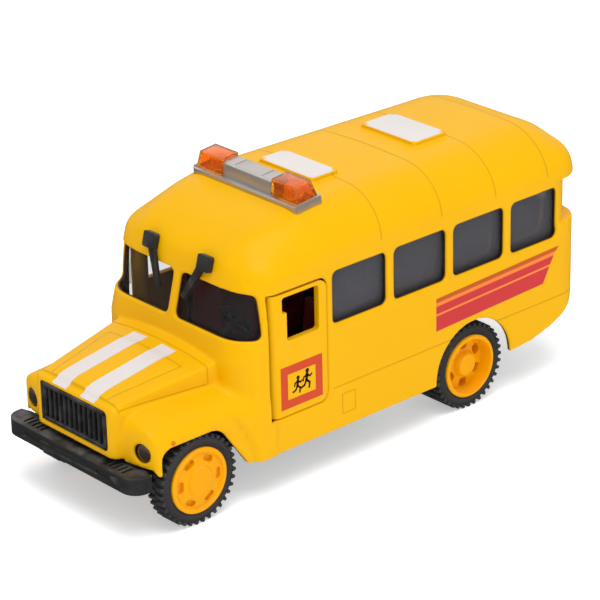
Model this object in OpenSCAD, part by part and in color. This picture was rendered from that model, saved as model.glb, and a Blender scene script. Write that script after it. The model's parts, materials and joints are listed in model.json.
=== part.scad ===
// Toy school bus: bonneted body shell on a chassis, opening cab doors and a friction drive
// The front faces -Y, the bus's own left side is +X, and the tyres stand on z = 0

/* [Overall] */
// Distance between the front and rear axles
wheelbase = 110; // [106:1:118]
// Front axle to the front face of the bumper
front_overhang = 23.7; // [22.5:0.1:26]
// Rear axle to the back of the body
rear_overhang = 49.6; // [47:0.1:54]
// Width across the flat body sides
body_w = 66; // [62:1:74]
// Ground to the crown of the roof
roof_z = 83.4; // [80:0.2:92]
// Ground to the lower edge of the body sides
skirt_z = 12.9; // [12:0.1:14.5]
// Thickness of the moulded body walls
wall = 2; // [1.6:0.1:2.4]

/* [Roof and corners] */
// Radius of the front corners seen from above
front_corner = 11; // [8:0.5:13]
// Radius of the rear corners seen from above
rear_corner = 11; // [8:0.5:12.5]
// Width of the roof shoulder at the front
shoulder = 15; // [11:0.5:17]
// Height of the roof curve above the brow
brow_h = 14.4; // [12:0.1:16]
// Length of the long curve from the brow to the flat of the roof
brow_l = 39; // [34:1:46]
// How far the full corner round of the brow lies below the roof curve
brow_drop = 2; // [1:0.5:3]
// Height of that corner round
brow_round = 8.6; // [5:0.2:10]
// Width of the roof shoulder at the tail
tail_shoulder = 19; // [14:0.5:21]
// Height of the roof curve at the tail
tail_h = 16; // [14:0.5:18]
// Length of the roof curve at the tail
tail_l = 19; // [14:1:24]
// Height of the full corner round at the tail
tail_round = 11; // [7:0.5:12]
// Rise of the roof's middle above its shoulders
crown = 0.5; // [0.3:0.1:1.2]
// Depth of the set-back band that holds the rear windows
band_depth = 4.5; // [3:0.5:5]

/* [Cab front] */
// Front axle to the wall under the windscreen
cowl_setback = 14.5; // [13.5:0.5:16]
// Height where the windscreen wall starts to lean back
cowl_z = 44; // [43:0.5:45]
// How far that wall leans back up to the brow
lean = 6.4; // [5:0.1:7.4]
// Lower edge of the windscreen
screen_z = 51; // [50:0.5:52]
// Height of the windscreen opening
screen_h = 13.5; // [12:0.5:14.5]
// Width of the post between the two panes
centre_post = 3.2; // [2.6:0.1:5]
// Width of the post between the windscreen and the door
corner_post = 2.4; // [2:0.1:5]

/* [Doors] */
// Cowl wall to the front edge of the door opening
door_setback = 12.2; // [11.8:0.1:14]
// Width of the door opening
door_w = 22.1; // [20:0.1:23]
// Lower edge of the door opening
door_z = 24.1; // [23:0.1:26]
// Height of the door opening
door_h = 39.7; // [37:0.1:40]
// Gap between the door and its opening
door_gap = 0.4; // [0.3:0.05:0.6]
// Radius of the rounded hinge edge of the door
hinge_r = 2.6; // [2.2:0.1:3]
// Radius of the hinge pins
pin_r = 1; // [0.8:0.1:1.2]
// Radial play of moving pins and shafts
play = 0.05; // [0.03:0.01:0.08]

/* [Side windows] */
// Lower edge of the side windows
sill_z = 47.6; // [46:0.1:50]
// Height of the side windows
window_h = 16.8; // [14:0.1:17.4]
// Number of windows on each side
window_n = 4; // [3:1:5]
// Width of the posts between the windows
window_post = 3.2; // [2.6:0.1:6]
// Width of the post between the door and the first window
first_post = 2.3; // [2:0.1:4]
// Last window to the back of the body
last_post = 13.6; // [12.5:0.1:17]
// How much shorter the last window is
last_short = 1.4; // [0:0.1:3]
// Thickness of the glazing
glass_t = 1; // [0.8:0.1:1.2]
// Clearance between the side glazing and the wall
glass_gap = 0.5; // [0.4:0.05:0.6]

/* [Cabin] */
// Width of the two cab seats
cab_seat_w = 13; // [11:0.5:14]
// Height of the cab seats
cab_seat_h = 31; // [28:0.5:33]
// Width of the passenger benches
bench_w = 16; // [13:0.5:17]
// Height of the benches on the floor
bench_h = 26; // [23:0.5:29]
// Height of the benches on the raised deck
deck_bench_h = 17; // [15:0.5:19]
// Distance between two benches
bench_pitch = 17; // [15:0.5:18]
// Lower edge of the dashboard
dash_z = 36; // [35:0.5:38]
// Height of the dashboard
dash_h = 12.2; // [11:0.1:13]
// Radius of the steering wheel
wheel_r = 5.2; // [4.5:0.1:6]

/* [Bonnet and nose] */
// Width of the nose around the grille
nose_w = 38; // [36:1:42]
// Bumper face to the front of the nose
nose_setback = 2.5; // [2:0.1:4]
// Width of the bonnet at the windscreen end
bonnet_w = 44; // [41:1:46]
// Width of the bonnet at the nose end
bonnet_front_w = 34.8; // [32:0.2:36]
// Height of the bonnet's middle at the windscreen end
bonnet_z = 45.2; // [44:0.1:46.5]
// Fall from the bonnet's middle to its side edges at the windscreen end
bonnet_fall = 1.8; // [1:0.1:3]
// Height of the bonnet's middle at the nose end
bonnet_front_z = 40.3; // [39.8:0.1:41.5]
// Width of the grille opening
grille_w = 30.4; // [28:0.2:31]
// Lower edge of the grille opening
grille_z = 25; // [24.5:0.1:26]
// Height of the grille opening
grille_h = 12.4; // [11:0.1:12.6]
// Number of grille slats
slat_n = 12; // [8:1:14]
// Radius of the headlights
headlight_r = 2.8; // [2.4:0.1:3]
// Distance between the headlight centres
headlight_span = 51; // [50:0.5:53]
// Height of the headlight centres
headlight_z = 26.6; // [26:0.1:27.5]

/* [Bumper] */
// How far each end of the bumper stays inside the body side
bumper_inset = 2.5; // [1.5:0.1:4]
// Height of the bumper bar
bumper_h = 5; // [4.4:0.1:5.6]
// Depth of the bumper from front to back
bumper_d = 7.6; // [7:0.1:8]

/* [Light bar] */
// Bumper-side edge of the light bar measured from the front axle
bar_setback = 45.7; // [43:0.1:48]
// Length of the light bar across the roof
bar_w = 46.8; // [42:0.2:50]
// Depth of the light bar
bar_d = 10.8; // [9.6:0.1:12]
// Height of the amber lenses above the base
lens_h = 5.3; // [4.8:0.1:7]
// Length of each amber lens
lens_w = 12.4; // [10:0.1:13]
// Slope of the light bar, following the roof
bar_tilt = 6; // [5:0.5:7]

/* [Wheels] */
// Outer radius of the tyres
tyre_r = 14.1; // [13.4:0.1:14.4]
// Outer radius of the wheel hubs
hub_r = 10.2; // [9.5:0.1:10.6]
// Width of the front tyres
front_tyre_w = 7; // [6:0.5:8]
// Width of the rear tyres
rear_tyre_w = 13; // [11:0.5:13.5]
// Number of tread lugs around each tyre edge
lug_n = 36; // [30:2:40]
// Radius of the steel axles
axle_r = 1.5; // [1.3:0.1:1.6]

/* [Friction drive] */
// Tooth module of the gears
gear_m = 0.5; // [0.48:0.01:0.5]
// Teeth of the gear on the rear axle
drive_n = 28; // [26:1:28]
// Teeth of both pinions
pinion_n = 10; // [10:1:11]
// Teeth of the idler's large gear
idler_n = 24; // [23:1:25]
// Radius of the flywheel discs
disc_r = 7.2; // [6.5:0.1:7.3]
// Radius of the idler pin and the flywheel shaft
shaft_r = 0.9; // [0.8:0.05:0.95]

/* [Hidden] */
$fn = 48;
fine = 0.12;
half_w = body_w / 2;
length = front_overhang + wheelbase + rear_overhang;
front_y = -length / 2;
rear_y = length / 2;
front_axle_y = front_y + front_overhang;
rear_axle_y = front_axle_y + wheelbase;
axle_z = tyre_r;
cowl_y = front_axle_y + cowl_setback;
brow_y = cowl_y + lean;
brow_z = roof_z - crown - brow_h;
tail_z = roof_z - crown - tail_h;
inner_w = half_w - wall;
door_y = cowl_y + door_setback;
door_end = door_y + door_w;
door_top = door_z + door_h;
hinge_x = half_w - hinge_r;
hinge_y = door_y + door_gap + hinge_r;
lug_h = 2.6;
window_y = door_end + first_post;
window_end = rear_y - last_post;
window_w = (window_end - window_y - (window_n - 1) * window_post + last_short) / window_n;
band_z = sill_z + 4.3;
band_top = tail_z - 0.9;
band_y = rear_y - band_depth;
rear_window_inset = 12;
rear_glass_lap = 1.4;
nose_y = front_y + nose_setback;
nose_z = grille_z - 2;
nose_round = 3.6;
grille_lip = 0.7;
grille_room = 1;
nose_half = max(nose_w / 2, grille_w / 2 + grille_lip + grille_room + wall);
bonnet_y = nose_y + 2.6;
bonnet_end = cowl_y - 1.2;
fender_z = 37.6;
fender_side = 30.5;
fender_roll = 9;
tip_z = 19.4;
bumper_w = body_w - 2 * bumper_inset;
bumper_y = front_y;
bumper_z = 16.5;
wiper_swing = 6.6;
wiper_reach = 12.2;
dash_y = cowl_y + wall + 1;
dash_d = 7.4;
column_l = 7.6;
column_r = 1.1;
column_reach = 6;
driver_x = half_w / 2 - 4;
cab_seat_gap = 6.2;
bench_gap = 3;
bench_x = inner_w - bench_w / 2 - 5;
plate_z = axle_z + axle_r + 1;
plate_t = 2;
floor_z = plate_z + plate_t;
floor_t = 2;
post_z = floor_z + floor_t;
post_r = 2.8;
screw_r = 1.2;
wheel_x = inner_w;
front_inner = wheel_x - front_tyre_w;
rear_inner = wheel_x - rear_tyre_w;
clear_r = tyre_r + 1.8;
arch_r = tyre_r + 2;
bar_y = front_axle_y + bar_setback;
bar_t = (brow_y + brow_l - bar_y) / brow_l;
bar_z = brow_z + brow_h * sqrt(1 - bar_t * bar_t) + crown + 0.7;
drive_r = gear_m * drive_n / 2;
pinion_pitch = gear_m * pinion_n / 2;
idler_pitch = gear_m * idler_n / 2;
reach_1 = drive_r + pinion_pitch;
reach_2 = idler_pitch + pinion_pitch;
mesh_angle = 10;
idler_y = rear_axle_y - reach_1 * cos(mesh_angle);
idler_z = axle_z + reach_1 * sin(mesh_angle);
fly_y = idler_y - reach_2;
fly_z = idler_z;
case_t = 1.2;
case_w = 8.2;
case_front = fly_y - disc_r - 0.8;
case_back = rear_axle_y + drive_r + gear_m + 0.7;
case_low = axle_z - drive_r - gear_m - 0.7;
case_high = fly_z + disc_r + 0.8;
deck_front = case_front - case_t - 0.8;
plate_end = case_back + case_t + 3.2;
deck_end = rear_y - wall - 5;
deck_z = max(case_high + case_t, 2 * tyre_r) + 1.4;

function arc(x, y, r, from, to, n) =
    [for (i = [0:n]) [x + r * cos(from + (to - from) * i / n), y + r * sin(from + (to - from) * i / n)]];

function rounded(x0, y0, x1, y1, r) = concat(
    arc(x1 - r, y1 - r, r, 0, 90, 5), arc(x0 + r, y1 - r, r, 90, 180, 5),
    arc(x0 + r, y0 + r, r, 180, 270, 5), arc(x1 - r, y0 + r, r, 270, 360, 5));

function flip(points) = [for (i = [len(points) - 1:-1:0]) [-points[i][0], points[i][1]]];

module along_x(from, to) translate([from, 0, 0]) rotate([90, 0, 90]) linear_extrude(to - from) children();
module along_y(from, to) translate([0, to, 0]) rotate([90, 0, 0]) linear_extrude(to - from) children();
module along_z(from, to) translate([0, 0, from]) linear_extrude(to - from) children();
module rod_x(from, to, r) translate([from, 0, 0]) rotate([0, 90, 0]) cylinder(r = r, h = to - from);
module both_sides() {
    children();
    mirror([1, 0, 0]) children();
}

// Closed form of the passenger box with its domed roof, drawn in by the inset
module box_form(inset) {
    foot = inset > 0 ? skirt_z - 3 : skirt_z;
    hull() {
        for (side = [-1, 1]) {
            translate([side * (half_w - front_corner), cowl_y + front_corner, foot])
                cylinder(r = front_corner - inset, h = cowl_z - foot);
            translate([side * (half_w - rear_corner), rear_y - rear_corner, foot])
                cylinder(r = rear_corner - inset, h = tail_z - foot);
            translate([side * (half_w - front_corner), brow_y + front_corner, brow_z - brow_drop])
                scale([front_corner - inset, front_corner - inset, brow_round - inset]) sphere(r = 1);
            translate([side * (half_w - rear_corner), rear_y - rear_corner, tail_z])
                scale([rear_corner - inset, rear_corner - inset, tail_round - inset]) sphere(r = 1);
            translate([side * (half_w - shoulder), brow_y + brow_l, brow_z])
                scale([shoulder - inset, brow_l - inset, brow_h - inset]) sphere(r = 1);
            translate([side * (half_w - tail_shoulder), rear_y - tail_l, tail_z])
                scale([tail_shoulder - inset, tail_l - inset, tail_h - inset]) sphere(r = 1);
        }
        along_y(brow_y + brow_l, rear_y - tail_l) polygon(concat(
            [for (i = [-6:6]) [i / 6 * (half_w - tail_shoulder), roof_z - inset - crown * i * i / 36]],
            [[0, roof_z - inset - 4]]));
    }
}

// Set-back band round the tail for the rear windows
module rear_band(inset) {
    difference() {
        translate([-half_w - 5, window_end - 6, band_z - inset])
            cube([body_w + 10, 40, band_top - band_z + 2 * inset]);
        along_z(band_z - inset - 1, band_top + inset + 1)
            polygon(rounded(-half_w + inset, cowl_y, half_w - inset, band_y - inset, rear_corner - inset));
    }
}

// Fenders as one block across the nose, drawn in by the inset
module fender_form(inset) {
    edge = arc(half_w - 6, fender_side, 6 - inset, 0, 72, 6);
    front_line = front_y + 8.1 + inset;
    corner = arc(half_w - 4, front_line + 4 - inset, 4 - inset, -72, 0, 5);
    right_half = concat(edge, [[bonnet_w / 2 - 1 - inset, fender_z - inset]]);
    plan_half = concat([[nose_half + 1 - inset, nose_y + 2.8 + inset]], corner, [[half_w - inset, door_y]]);
    intersection() {
        along_y(front_y, door_y) polygon(concat(
            [[-half_w + inset, skirt_z - inset], [half_w - inset, skirt_z - inset]], right_half, flip(right_half)));
        along_z(skirt_z - inset, bonnet_z) polygon(concat(plan_half, flip(plan_half)));
        along_x(-half_w, half_w) polygon(concat(
            [[door_y, skirt_z - inset], [nose_y + 2.8 + inset, skirt_z - inset]],
            arc(nose_y + 2.8 + fender_roll, fender_z + 0.4 - fender_roll, fender_roll - inset, 180, 90, 8),
            [[door_y, fender_z + 0.4 - inset]]));
    }
}

// Nose block behind the grille
module nose_form(inset) {
    intersection() {
        along_z(nose_z + (inset > 0 ? -6 : 0), bonnet_z) polygon(rounded(
            -nose_half + inset, nose_y + inset, nose_half - inset, cowl_y, 4 - inset));
        along_x(-2 * nose_half, 2 * nose_half) polygon(concat(
            [[cowl_y, nose_z - 6], [cowl_y, bonnet_front_z - 1 - 0.7 * inset]],
            arc(nose_y + 2.4 + 0.2 * inset, bonnet_front_z - 3.4 + 0.1 * inset, 2.4 - 0.8 * inset, 90, 180, 5),
            [[nose_y + inset, nose_z - 6]]));
        along_y(nose_y - 1, cowl_y) polygon(rounded(-nose_half + inset, nose_z - 9, nose_half - inset,
            bonnet_front_z - 1 - 0.7 * inset, nose_round - 0.7 * inset));
    }
}

// Crowned cross-section of the bonnet
module bonnet_section(w, low, edge, top) polygon(concat(
    [[-w / 2, low], [w / 2, low], [w / 2, edge - 1]],
    [for (i = [-6:6]) [-i / 6 * (w / 2 - 0.8), edge + (top - edge) * (1 - i * i / 36)]],
    [[-w / 2, edge - 1]]));

module bonnet_form(inset) hull() {
    along_y(bonnet_y + inset, bonnet_y + inset + 0.1)
        bonnet_section(bonnet_front_w - 2 * inset, bonnet_front_z - 4, bonnet_front_z - 1 - inset, bonnet_front_z - inset);
    along_y(bonnet_end, bonnet_end + 1.4)
        bonnet_section(bonnet_w - 2 * inset, bonnet_z - 10, bonnet_z - bonnet_fall - inset, bonnet_z - inset);
}

module front_arch() along_x(half_w - 6, half_w + 1) polygon(concat(
    [[front_axle_y - 15.6, skirt_z - 2], [front_axle_y + 19.4, skirt_z - 2], [front_axle_y + 18.6, skirt_z]],
    arc(front_axle_y + 4.6, tyre_r + 11.4, 2.6, 40, 90, 3),
    arc(front_axle_y - 9.6, tyre_r + 10.4, 3.6, 90, 175, 4),
    [[front_axle_y - 14.4, tip_z], [front_axle_y - 15.6, tip_z - 1]]));

// Open space under the nose and fender tips where the bumper passes
module front_apron() along_y(front_y, front_axle_y - 14) polygon([
    [-half_w - 1, skirt_z - 4], [half_w + 1, skirt_z - 4], [half_w + 1, tip_z - 0.3],
    [half_w - 4, bumper_z + bumper_h + 0.6], [-half_w + 4, bumper_z + bumper_h + 0.6], [-half_w - 1, tip_z - 0.3]]);

module tail_sweep() along_x(-half_w - 1, half_w + 1) polygon([
    [rear_axle_y + 12, skirt_z - 4], [rear_axle_y + 12, skirt_z + 1.2], [rear_y - 24, skirt_z + 2.3],
    [rear_y - 15, skirt_z + 4.7], [rear_y - 10.5, skirt_z + 6.7], [rear_y - 6, skirt_z + 9.5],
    [rear_y - 2, skirt_z + 13], [rear_y + 1, skirt_z + 16], [rear_y + 1, skirt_z - 4]]);

// Outline of a door: tight corners at the hinge edge, round ones at the free edge
function door_outline(from, gap) = concat(
    [[from, door_z + gap]], arc(door_end - gap - 2.8, door_z + gap + 2.8, 2.8, 270, 360, 5),
    arc(door_end - gap - 2.8, door_top - gap - 2.8, 2.8, 0, 90, 5), [[from, door_top - gap]]);

module side_window(i) {
    from = window_y + i * (window_w + window_post);
    to = i == window_n - 1 ? window_end : from + window_w;
    along_x(inner_w - 1, half_w + 1) polygon(rounded(from, sill_z, to, sill_z + window_h, 2));
}

module windscreen_opening() intersection() {
    along_x(centre_post / 2, half_w + 1)
        polygon(rounded(cowl_y - 20, screen_z, door_y - corner_post, screen_z + screen_h, 1.8));
    along_y(cowl_y - 5, door_y)
        polygon(rounded(centre_post / 2, screen_z, half_w + 20, screen_z + screen_h, 2));
}

module hinge_lug(z) {
    translate([hinge_x, hinge_y, z]) cylinder(r = hinge_r - 0.3, h = lug_h);
    translate([hinge_x, hinge_y - 1.6, z]) cube([hinge_r - 1, 3.2, lug_h]);
}

// Screw post on the side wall, held by a rib
module side_post() {
    translate([rear_post[0], rear_post[1], floor_z]) cylinder(r = post_r, h = post_h);
    translate([rear_post[0], rear_post[1] - 0.8, floor_z]) cube([inner_w - rear_post[0] + 1, 1.6, post_h]);
}

post_h = 8.6;
front_post = [10, front_axle_y - 8.6];
rear_post = [inner_w - 7, deck_front + 6];
module post_places() for (p = [front_post, rear_post]) both_sides() translate([p[0], p[1], 0]) children();

wiper_x = 12.3;
wiper_rise = 1.6;
wiper_z = brow_z + wiper_rise;
wiper_y = brow_y + front_corner * (1 - sqrt(1 - pow((wiper_rise + brow_drop) / brow_round, 2)));
wiper_tilt = atan(lean / (brow_z - cowl_z));
module wiper_place() translate([wiper_x, wiper_y - 0.9, wiper_z]) rotate([-wiper_tilt, 0, 0]) children();
module bar_place() translate([0, bar_y, bar_z]) rotate([bar_tilt, 0, 0]) children();

// Distance of each roof hatch in front of the rear axle, and its length
hatches = [[47.6, 10.7], [5.6, 14.1]];
hatch_w = 24;
tail_lamp_x = half_w - 8;
tail_lamp_z = 38;

module body_shell() color("gold") difference() {
    union() {
        difference() {
            union() {
                difference() {
                    box_form(0);
                    rear_band(0);
                }
                fender_form(0);
                nose_form(0);
                bonnet_form(0);
                for (p = hatches) translate([-hatch_w / 2, rear_axle_y - p[0], roof_z - crown - 0.6])
                    cube([hatch_w, p[1], crown + 1]);
            }
            difference() {
                box_form(wall);
                rear_band(wall);
            }
            fender_form(wall);
            nose_form(wall);
            bonnet_form(wall);
        }
        both_sides() {
            hinge_lug(door_top + door_gap);
            hinge_lug(door_z - door_gap - lug_h);
            translate([front_post[0], front_post[1], post_z]) cylinder(r = post_r, h = bonnet_front_z - 1 - post_z);
            side_post();
            translate([inner_w - 1.6, rear_axle_y + clear_r + 4, deck_z - 1.8]) cube([2, 20, 1.8 - fine]);
        }
    }
    both_sides() {
        for (i = [0:window_n - 1]) side_window(i);
        windscreen_opening();
        along_x(inner_w - 1, half_w + 1) polygon(door_outline(door_y, 0));
        translate([hinge_x, hinge_y, door_z - door_gap - lug_h - 1])
            cylinder(r = pin_r + play, h = door_h + 2 * (door_gap + lug_h) + 2);
        front_arch();
        translate([inner_w - 1, rear_axle_y, axle_z]) rod_x(0, wall + 2, arch_r);
        translate([headlight_span / 2, front_y + 5, headlight_z]) rotate([-90, 0, 0])
            cylinder(r = headlight_r + fine, h = 8);
        wiper_place() rotate([-90, 0, 0]) translate([0, 0, -1]) cylinder(r = pin_r + play, h = 7);
        along_y(band_y - wall - 1, band_y + 1)
            polygon(rounded(centre_post / 2, band_z + 2.5, half_w - rear_window_inset, band_top - 3, 2));
        translate([tail_lamp_x, rear_y - wall - 3, tail_lamp_z]) rotate([-90, 0, 0]) cylinder(r = 2 + fine, h = 8);
        bar_place() translate([bar_w / 2 - 8, bar_d / 2, -8]) cylinder(r = pin_r + play, h = 8);
    }
    along_y(nose_y - 1, nose_y + 4)
        polygon(rounded(-grille_w / 2, grille_z, grille_w / 2, grille_z + grille_h, 1.4));
    front_apron();
    tail_sweep();
    post_places() translate([0, 0, floor_z - 1]) cylinder(r = screw_r, h = 9);
    belt_groove();
}

// Moulded line along the lower sides and round the fuel flap
module belt_groove() both_sides() difference() {
    union() {
        along_x(half_w - 0.4, half_w + 1) polygon([[door_end + 2, 26.8], [rear_y - rear_corner, 26.8],
            [rear_y - rear_corner, 27.3], [door_end + 2, 27.3]]);
        along_x(half_w - 0.4, half_w + 1) difference() {
            polygon(rounded(door_end + 5.5, 17.6, door_end + 10.7, 24, 0.8));
            polygon(rounded(door_end + 5.9, 18, door_end + 10.3, 23.6, 0.6));
        }
    }
    translate([inner_w, rear_axle_y - 17, 20]) cube([5, 34, 12]);
}

module chassis_plate() color("#2b2b2d") difference() {
    union() {
        along_z(plate_z, floor_z) polygon([
            [-front_inner + 1.6, front_axle_y - 12.6], [front_inner - 1.6, front_axle_y - 12.6],
            [front_inner - 1.6, front_axle_y + clear_r], [inner_w - 0.5, front_axle_y + clear_r + 5],
            [inner_w - 0.5, rear_axle_y - clear_r], [rear_inner - 1.2, rear_axle_y - clear_r],
            [rear_inner - 1.2, plate_end], [-rear_inner + 1.2, plate_end],
            [-rear_inner + 1.2, rear_axle_y - clear_r], [-inner_w + 0.5, rear_axle_y - clear_r],
            [-inner_w + 0.5, front_axle_y + clear_r + 5], [-front_inner + 1.6, front_axle_y + clear_r]]);
        both_sides() {
            translate([front_inner - 6, front_axle_y, 0]) bearing_block(4);
            translate([rear_inner - 4.2, rear_axle_y, 0]) bearing_block(3);
        }
        for (y = [front_axle_y + 32, rear_axle_y - 50, rear_axle_y - 32])
            translate([-inner_w + 4, y, plate_z - 1.2]) cube([body_w - 2 * wall - 8, 1.4, 2]);
    }
    translate([-case_w - case_t - 0.4, case_front - case_t - 0.4, plate_z - 5])
        cube([2 * (case_w + case_t + 0.4), case_back - case_front + 2 * (case_t + 0.4), 12]);
    translate([-half_w, front_axle_y, axle_z]) rod_x(0, body_w, axle_r + play);
    translate([-half_w, rear_axle_y, axle_z]) rod_x(0, body_w, axle_r + play);
    post_places() {
        translate([0, 0, plate_z - 1]) cylinder(r = screw_r + fine, h = 9);
        translate([0, 0, plate_z - 4]) cylinder(r = 2.6, h = 5);
    }
    motor_ears() translate([0, 0, plate_z - 1]) cylinder(r = 0.8, h = 9);
}

module bearing_block(w) along_x(0, w) polygon(concat(
    arc(0, axle_z, axle_r + 1.6, 180, 360, 8), [[axle_r + 2.6, floor_z - 0.5], [-axle_r - 2.6, floor_z - 0.5]]));

module motor_ears() for (y = [case_front + 3, case_back - 2.5]) both_sides()
    translate([case_w + case_t + 2, y, 0]) children();

module cabin_floor() color("#3a3a3e") difference() {
    union() {
        along_x(-inner_w + 1.6, inner_w - 1.6) polygon([
            [dash_y, floor_z], [deck_front, floor_z], [deck_front, deck_z], [deck_end, deck_z],
            [deck_end, deck_z + floor_t], [deck_front - floor_t, deck_z + floor_t], [deck_front - floor_t, post_z],
            [dash_y + floor_t, post_z], [dash_y + floor_t, dash_z], [dash_y, dash_z]]);
    }
    both_sides() {
        translate([inner_w - 5, cowl_y, floor_z - 1]) cube([10, door_end + 1 - cowl_y, 30]);
        along_z(floor_z - 1, 40) polygon([[inner_w - 9, cowl_y - 1], [inner_w, cowl_y - 1], [inner_w, cowl_y + 12]]);
        along_z(floor_z - 1, 40) polygon([[inner_w - 10, rear_y], [inner_w, rear_y], [inner_w, rear_y - 16]]);
    }
}

// One seat in side view: foot, cushion and leaning back
module seat(x, y, w, foot, high) along_x(x - w / 2, x + w / 2) polygon(concat(
    [[y, foot], [y + 5.6, foot], [y + 5.6, foot + 4], [y + 8.4, foot + 6]],
    arc(y + 9.6, foot + high - 1.2, 1.2, 0, 180, 5),
    [[y + 6.6, foot + 10.4]], arc(y - 0.6, foot + 8.9, 1.4, 90, 200, 4), [[y, foot + 7]]));

module cab_seats() color("#7a1f22") both_sides()
    seat(driver_x, door_y + cab_seat_gap, cab_seat_w, post_z, cab_seat_h);

module passenger_seats() color("#7a1f22") both_sides() {
    for (i = [0:1]) seat(bench_x, door_end + bench_gap + i * bench_pitch, bench_w, post_z, bench_h);
    for (i = [0:1]) seat(bench_x, deck_front + bench_gap + i * (bench_pitch + 2), bench_w,
        deck_z + floor_t, deck_bench_h);
}

module dashboard() color("#2f2f33") difference() {
    along_x(-half_w + front_corner - 1, half_w - front_corner + 1) polygon([
        [dash_y, dash_z], [dash_y + floor_t, dash_z], [dash_y + dash_d - 1, dash_z + 0.4 * dash_h],
        [dash_y + dash_d, dash_z + 0.8 * dash_h], [dash_y + dash_d - 1.8, dash_z + 0.93 * dash_h],
        [dash_y, dash_z + dash_h]]);
    wheel_place() translate([0, 0, -column_l - 0.4]) cylinder(r = column_r, h = column_l - 0.6);
}

module wheel_place() translate([driver_x, dash_y + dash_d + column_reach, dash_z + dash_h + 0.8])
    rotate([-58, 0, 0]) children();

module steering_wheel() color("#1d1d1f") wheel_place() {
    rotate_extrude() translate([wheel_r, 0]) circle(r = 0.75, $fn = 16);
    for (a = [30, 150, 270]) rotate([0, 0, a]) translate([0, -0.6, -0.5]) cube([wheel_r - 0.2, 1.2, 1]);
    translate([0, 0, -column_l]) cylinder(r = column_r, h = column_l + 0.6);
}

module windscreen() color("#6f7f86") intersection() {
    difference() {
        box_form(wall + fine);
        box_form(wall + fine + glass_t);
    }
    translate([-half_w, cowl_y - 5, screen_z - 1.8])
        cube([body_w, door_y - corner_post + 1.5 - cowl_y + 5, screen_h + 3.6]);
}

module left_side_glazing() color("#3c4246") along_x(inner_w - glass_gap - glass_t, inner_w - glass_gap)
    polygon(rounded(window_y - 1.5, sill_z - 1.6, window_end + 0.9, sill_z + window_h + 1.6, 1.5));
module right_side_glazing() mirror([1, 0, 0]) left_side_glazing();
module rear_glazing() color("#3c4246") along_y(band_y - wall - fine - glass_t, band_y - wall - fine)
    polygon(rounded(-half_w + rear_window_inset - rear_glass_lap, band_z + 1,
        half_w - rear_window_inset + rear_glass_lap, band_top - 1.5, 1.5));

module radiator_grille() color("#242426") {
    difference() {
        along_y(nose_y + 0.5, nose_y + wall + 1.4)
            polygon(rounded(-grille_w / 2 + fine, grille_z + fine,
                grille_w / 2 - fine, grille_z + grille_h - fine, 1.3));
        pitch = (grille_w - 3) / slat_n;
        for (i = [0:slat_n - 1])
            translate([-grille_w / 2 + 1.5 + i * pitch + 0.55, nose_y, grille_z + 1.3])
                cube([pitch - 1.1, 1.9, grille_h - 2.6]);
    }
    along_y(nose_y + wall + 0.3, nose_y + wall + 1.4)
        polygon(rounded(-grille_w / 2 - grille_lip, grille_z - 1.2,
            grille_w / 2 + grille_lip, grille_z + grille_h - 0.2, 1.2));
}

headlight_y = front_y + 7.4;
module left_headlight() color("#2a2624") translate([headlight_span / 2, headlight_y, headlight_z]) rotate([-90, 0, 0])
    rotate_extrude() polygon(concat([[0, 4.6], [0, -0.5]],
        [for (i = [1:5]) [headlight_r * i / 5, -0.5 + 0.9 * i * i / 25]], [[headlight_r, 4.6]]));
module right_headlight() mirror([1, 0, 0]) left_headlight();

module left_tail_lamp() color("#b01e1e") translate([tail_lamp_x, rear_y - wall, tail_lamp_z]) rotate([-90, 0, 0]) {
    translate([0, 0, -1]) cylinder(r = 2, h = wall + 0.95);
}
module right_tail_lamp() mirror([1, 0, 0]) left_tail_lamp();

// Bumper bar with step pads, slots and the tongue that carries it on the chassis
module front_bumper() color("#2f2d2f") difference() {
    end_r = 5;
    half = bumper_w / 2;
    back = bumper_y + bumper_d;
    union() {
        along_z(bumper_z, bumper_z + bumper_h) polygon(concat(
            [[-half + 4, back], [-half, back - 1]], arc(-half + end_r, bumper_y + end_r, end_r, 180, 270, 6),
            arc(half - end_r, bumper_y + end_r, end_r, 270, 360, 6), [[half, back - 1], [half - 4, back]]));
        along_z(floor_z, post_z) polygon(rounded(-14, back - 1, 14, front_post[1] + 4, 1));
    }
    for (side = [-1, 1]) {
        for (i = [0:4]) translate([side * (half - 7.5 - i * 2) - 0.5, bumper_y + 1.8, bumper_z + bumper_h - 0.6])
            cube([1, bumper_d - 3.6, 1]);
        translate([side * (half - 14), bumper_y + 0.4, bumper_z + bumper_h / 2]) rotate([90, 0, 0])
            linear_extrude(2) polygon(rounded(-3.4, -0.8, 3.4, 0.8, 0.7));
        translate([side * front_post[0], front_post[1], floor_z - 1]) cylinder(r = screw_r + fine, h = 5);
    }
}

// Wiper: square pad on the brow, arm and blade lying over the pane
module left_wiper() color("#1c1c1e") wiper_place() {
    along_y(-1.7, 0) polygon(rounded(-2.7, -2.4, 2.7, 2.4, 0.7));
    along_y(-1.5, -0.5) polygon([[-2.2, -0.6], [0.4, -1.6],
        [0.8 - wiper_swing, -0.4 - wiper_reach], [-0.8 - wiper_swing, 0.4 - wiper_reach]]);
    rotate([-90, 0, 0]) translate([0, 0, -0.5]) cylinder(r = pin_r, h = 4.2);
}
module right_wiper() mirror([1, 0, 0]) left_wiper();

// Light bar base moulded to the curve of the roof, with two pegs
module light_bar_base() color("#b4b4b8") {
    difference() {
        bar_place() {
            along_z(-6, 0) polygon(rounded(-bar_w / 2, 0, bar_w / 2, bar_d, 1.2));
            both_sides() along_z(-1, 0.5) polygon(rounded(bar_w / 2 - 0.7, 0.7, bar_w / 2, bar_d - 0.7, 0.3));
        }
        box_form(-0.06);
    }
    both_sides() bar_place() translate([bar_w / 2 - 8, bar_d / 2, -4.6]) cylinder(r = pin_r, h = 4.2);
}

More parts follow.
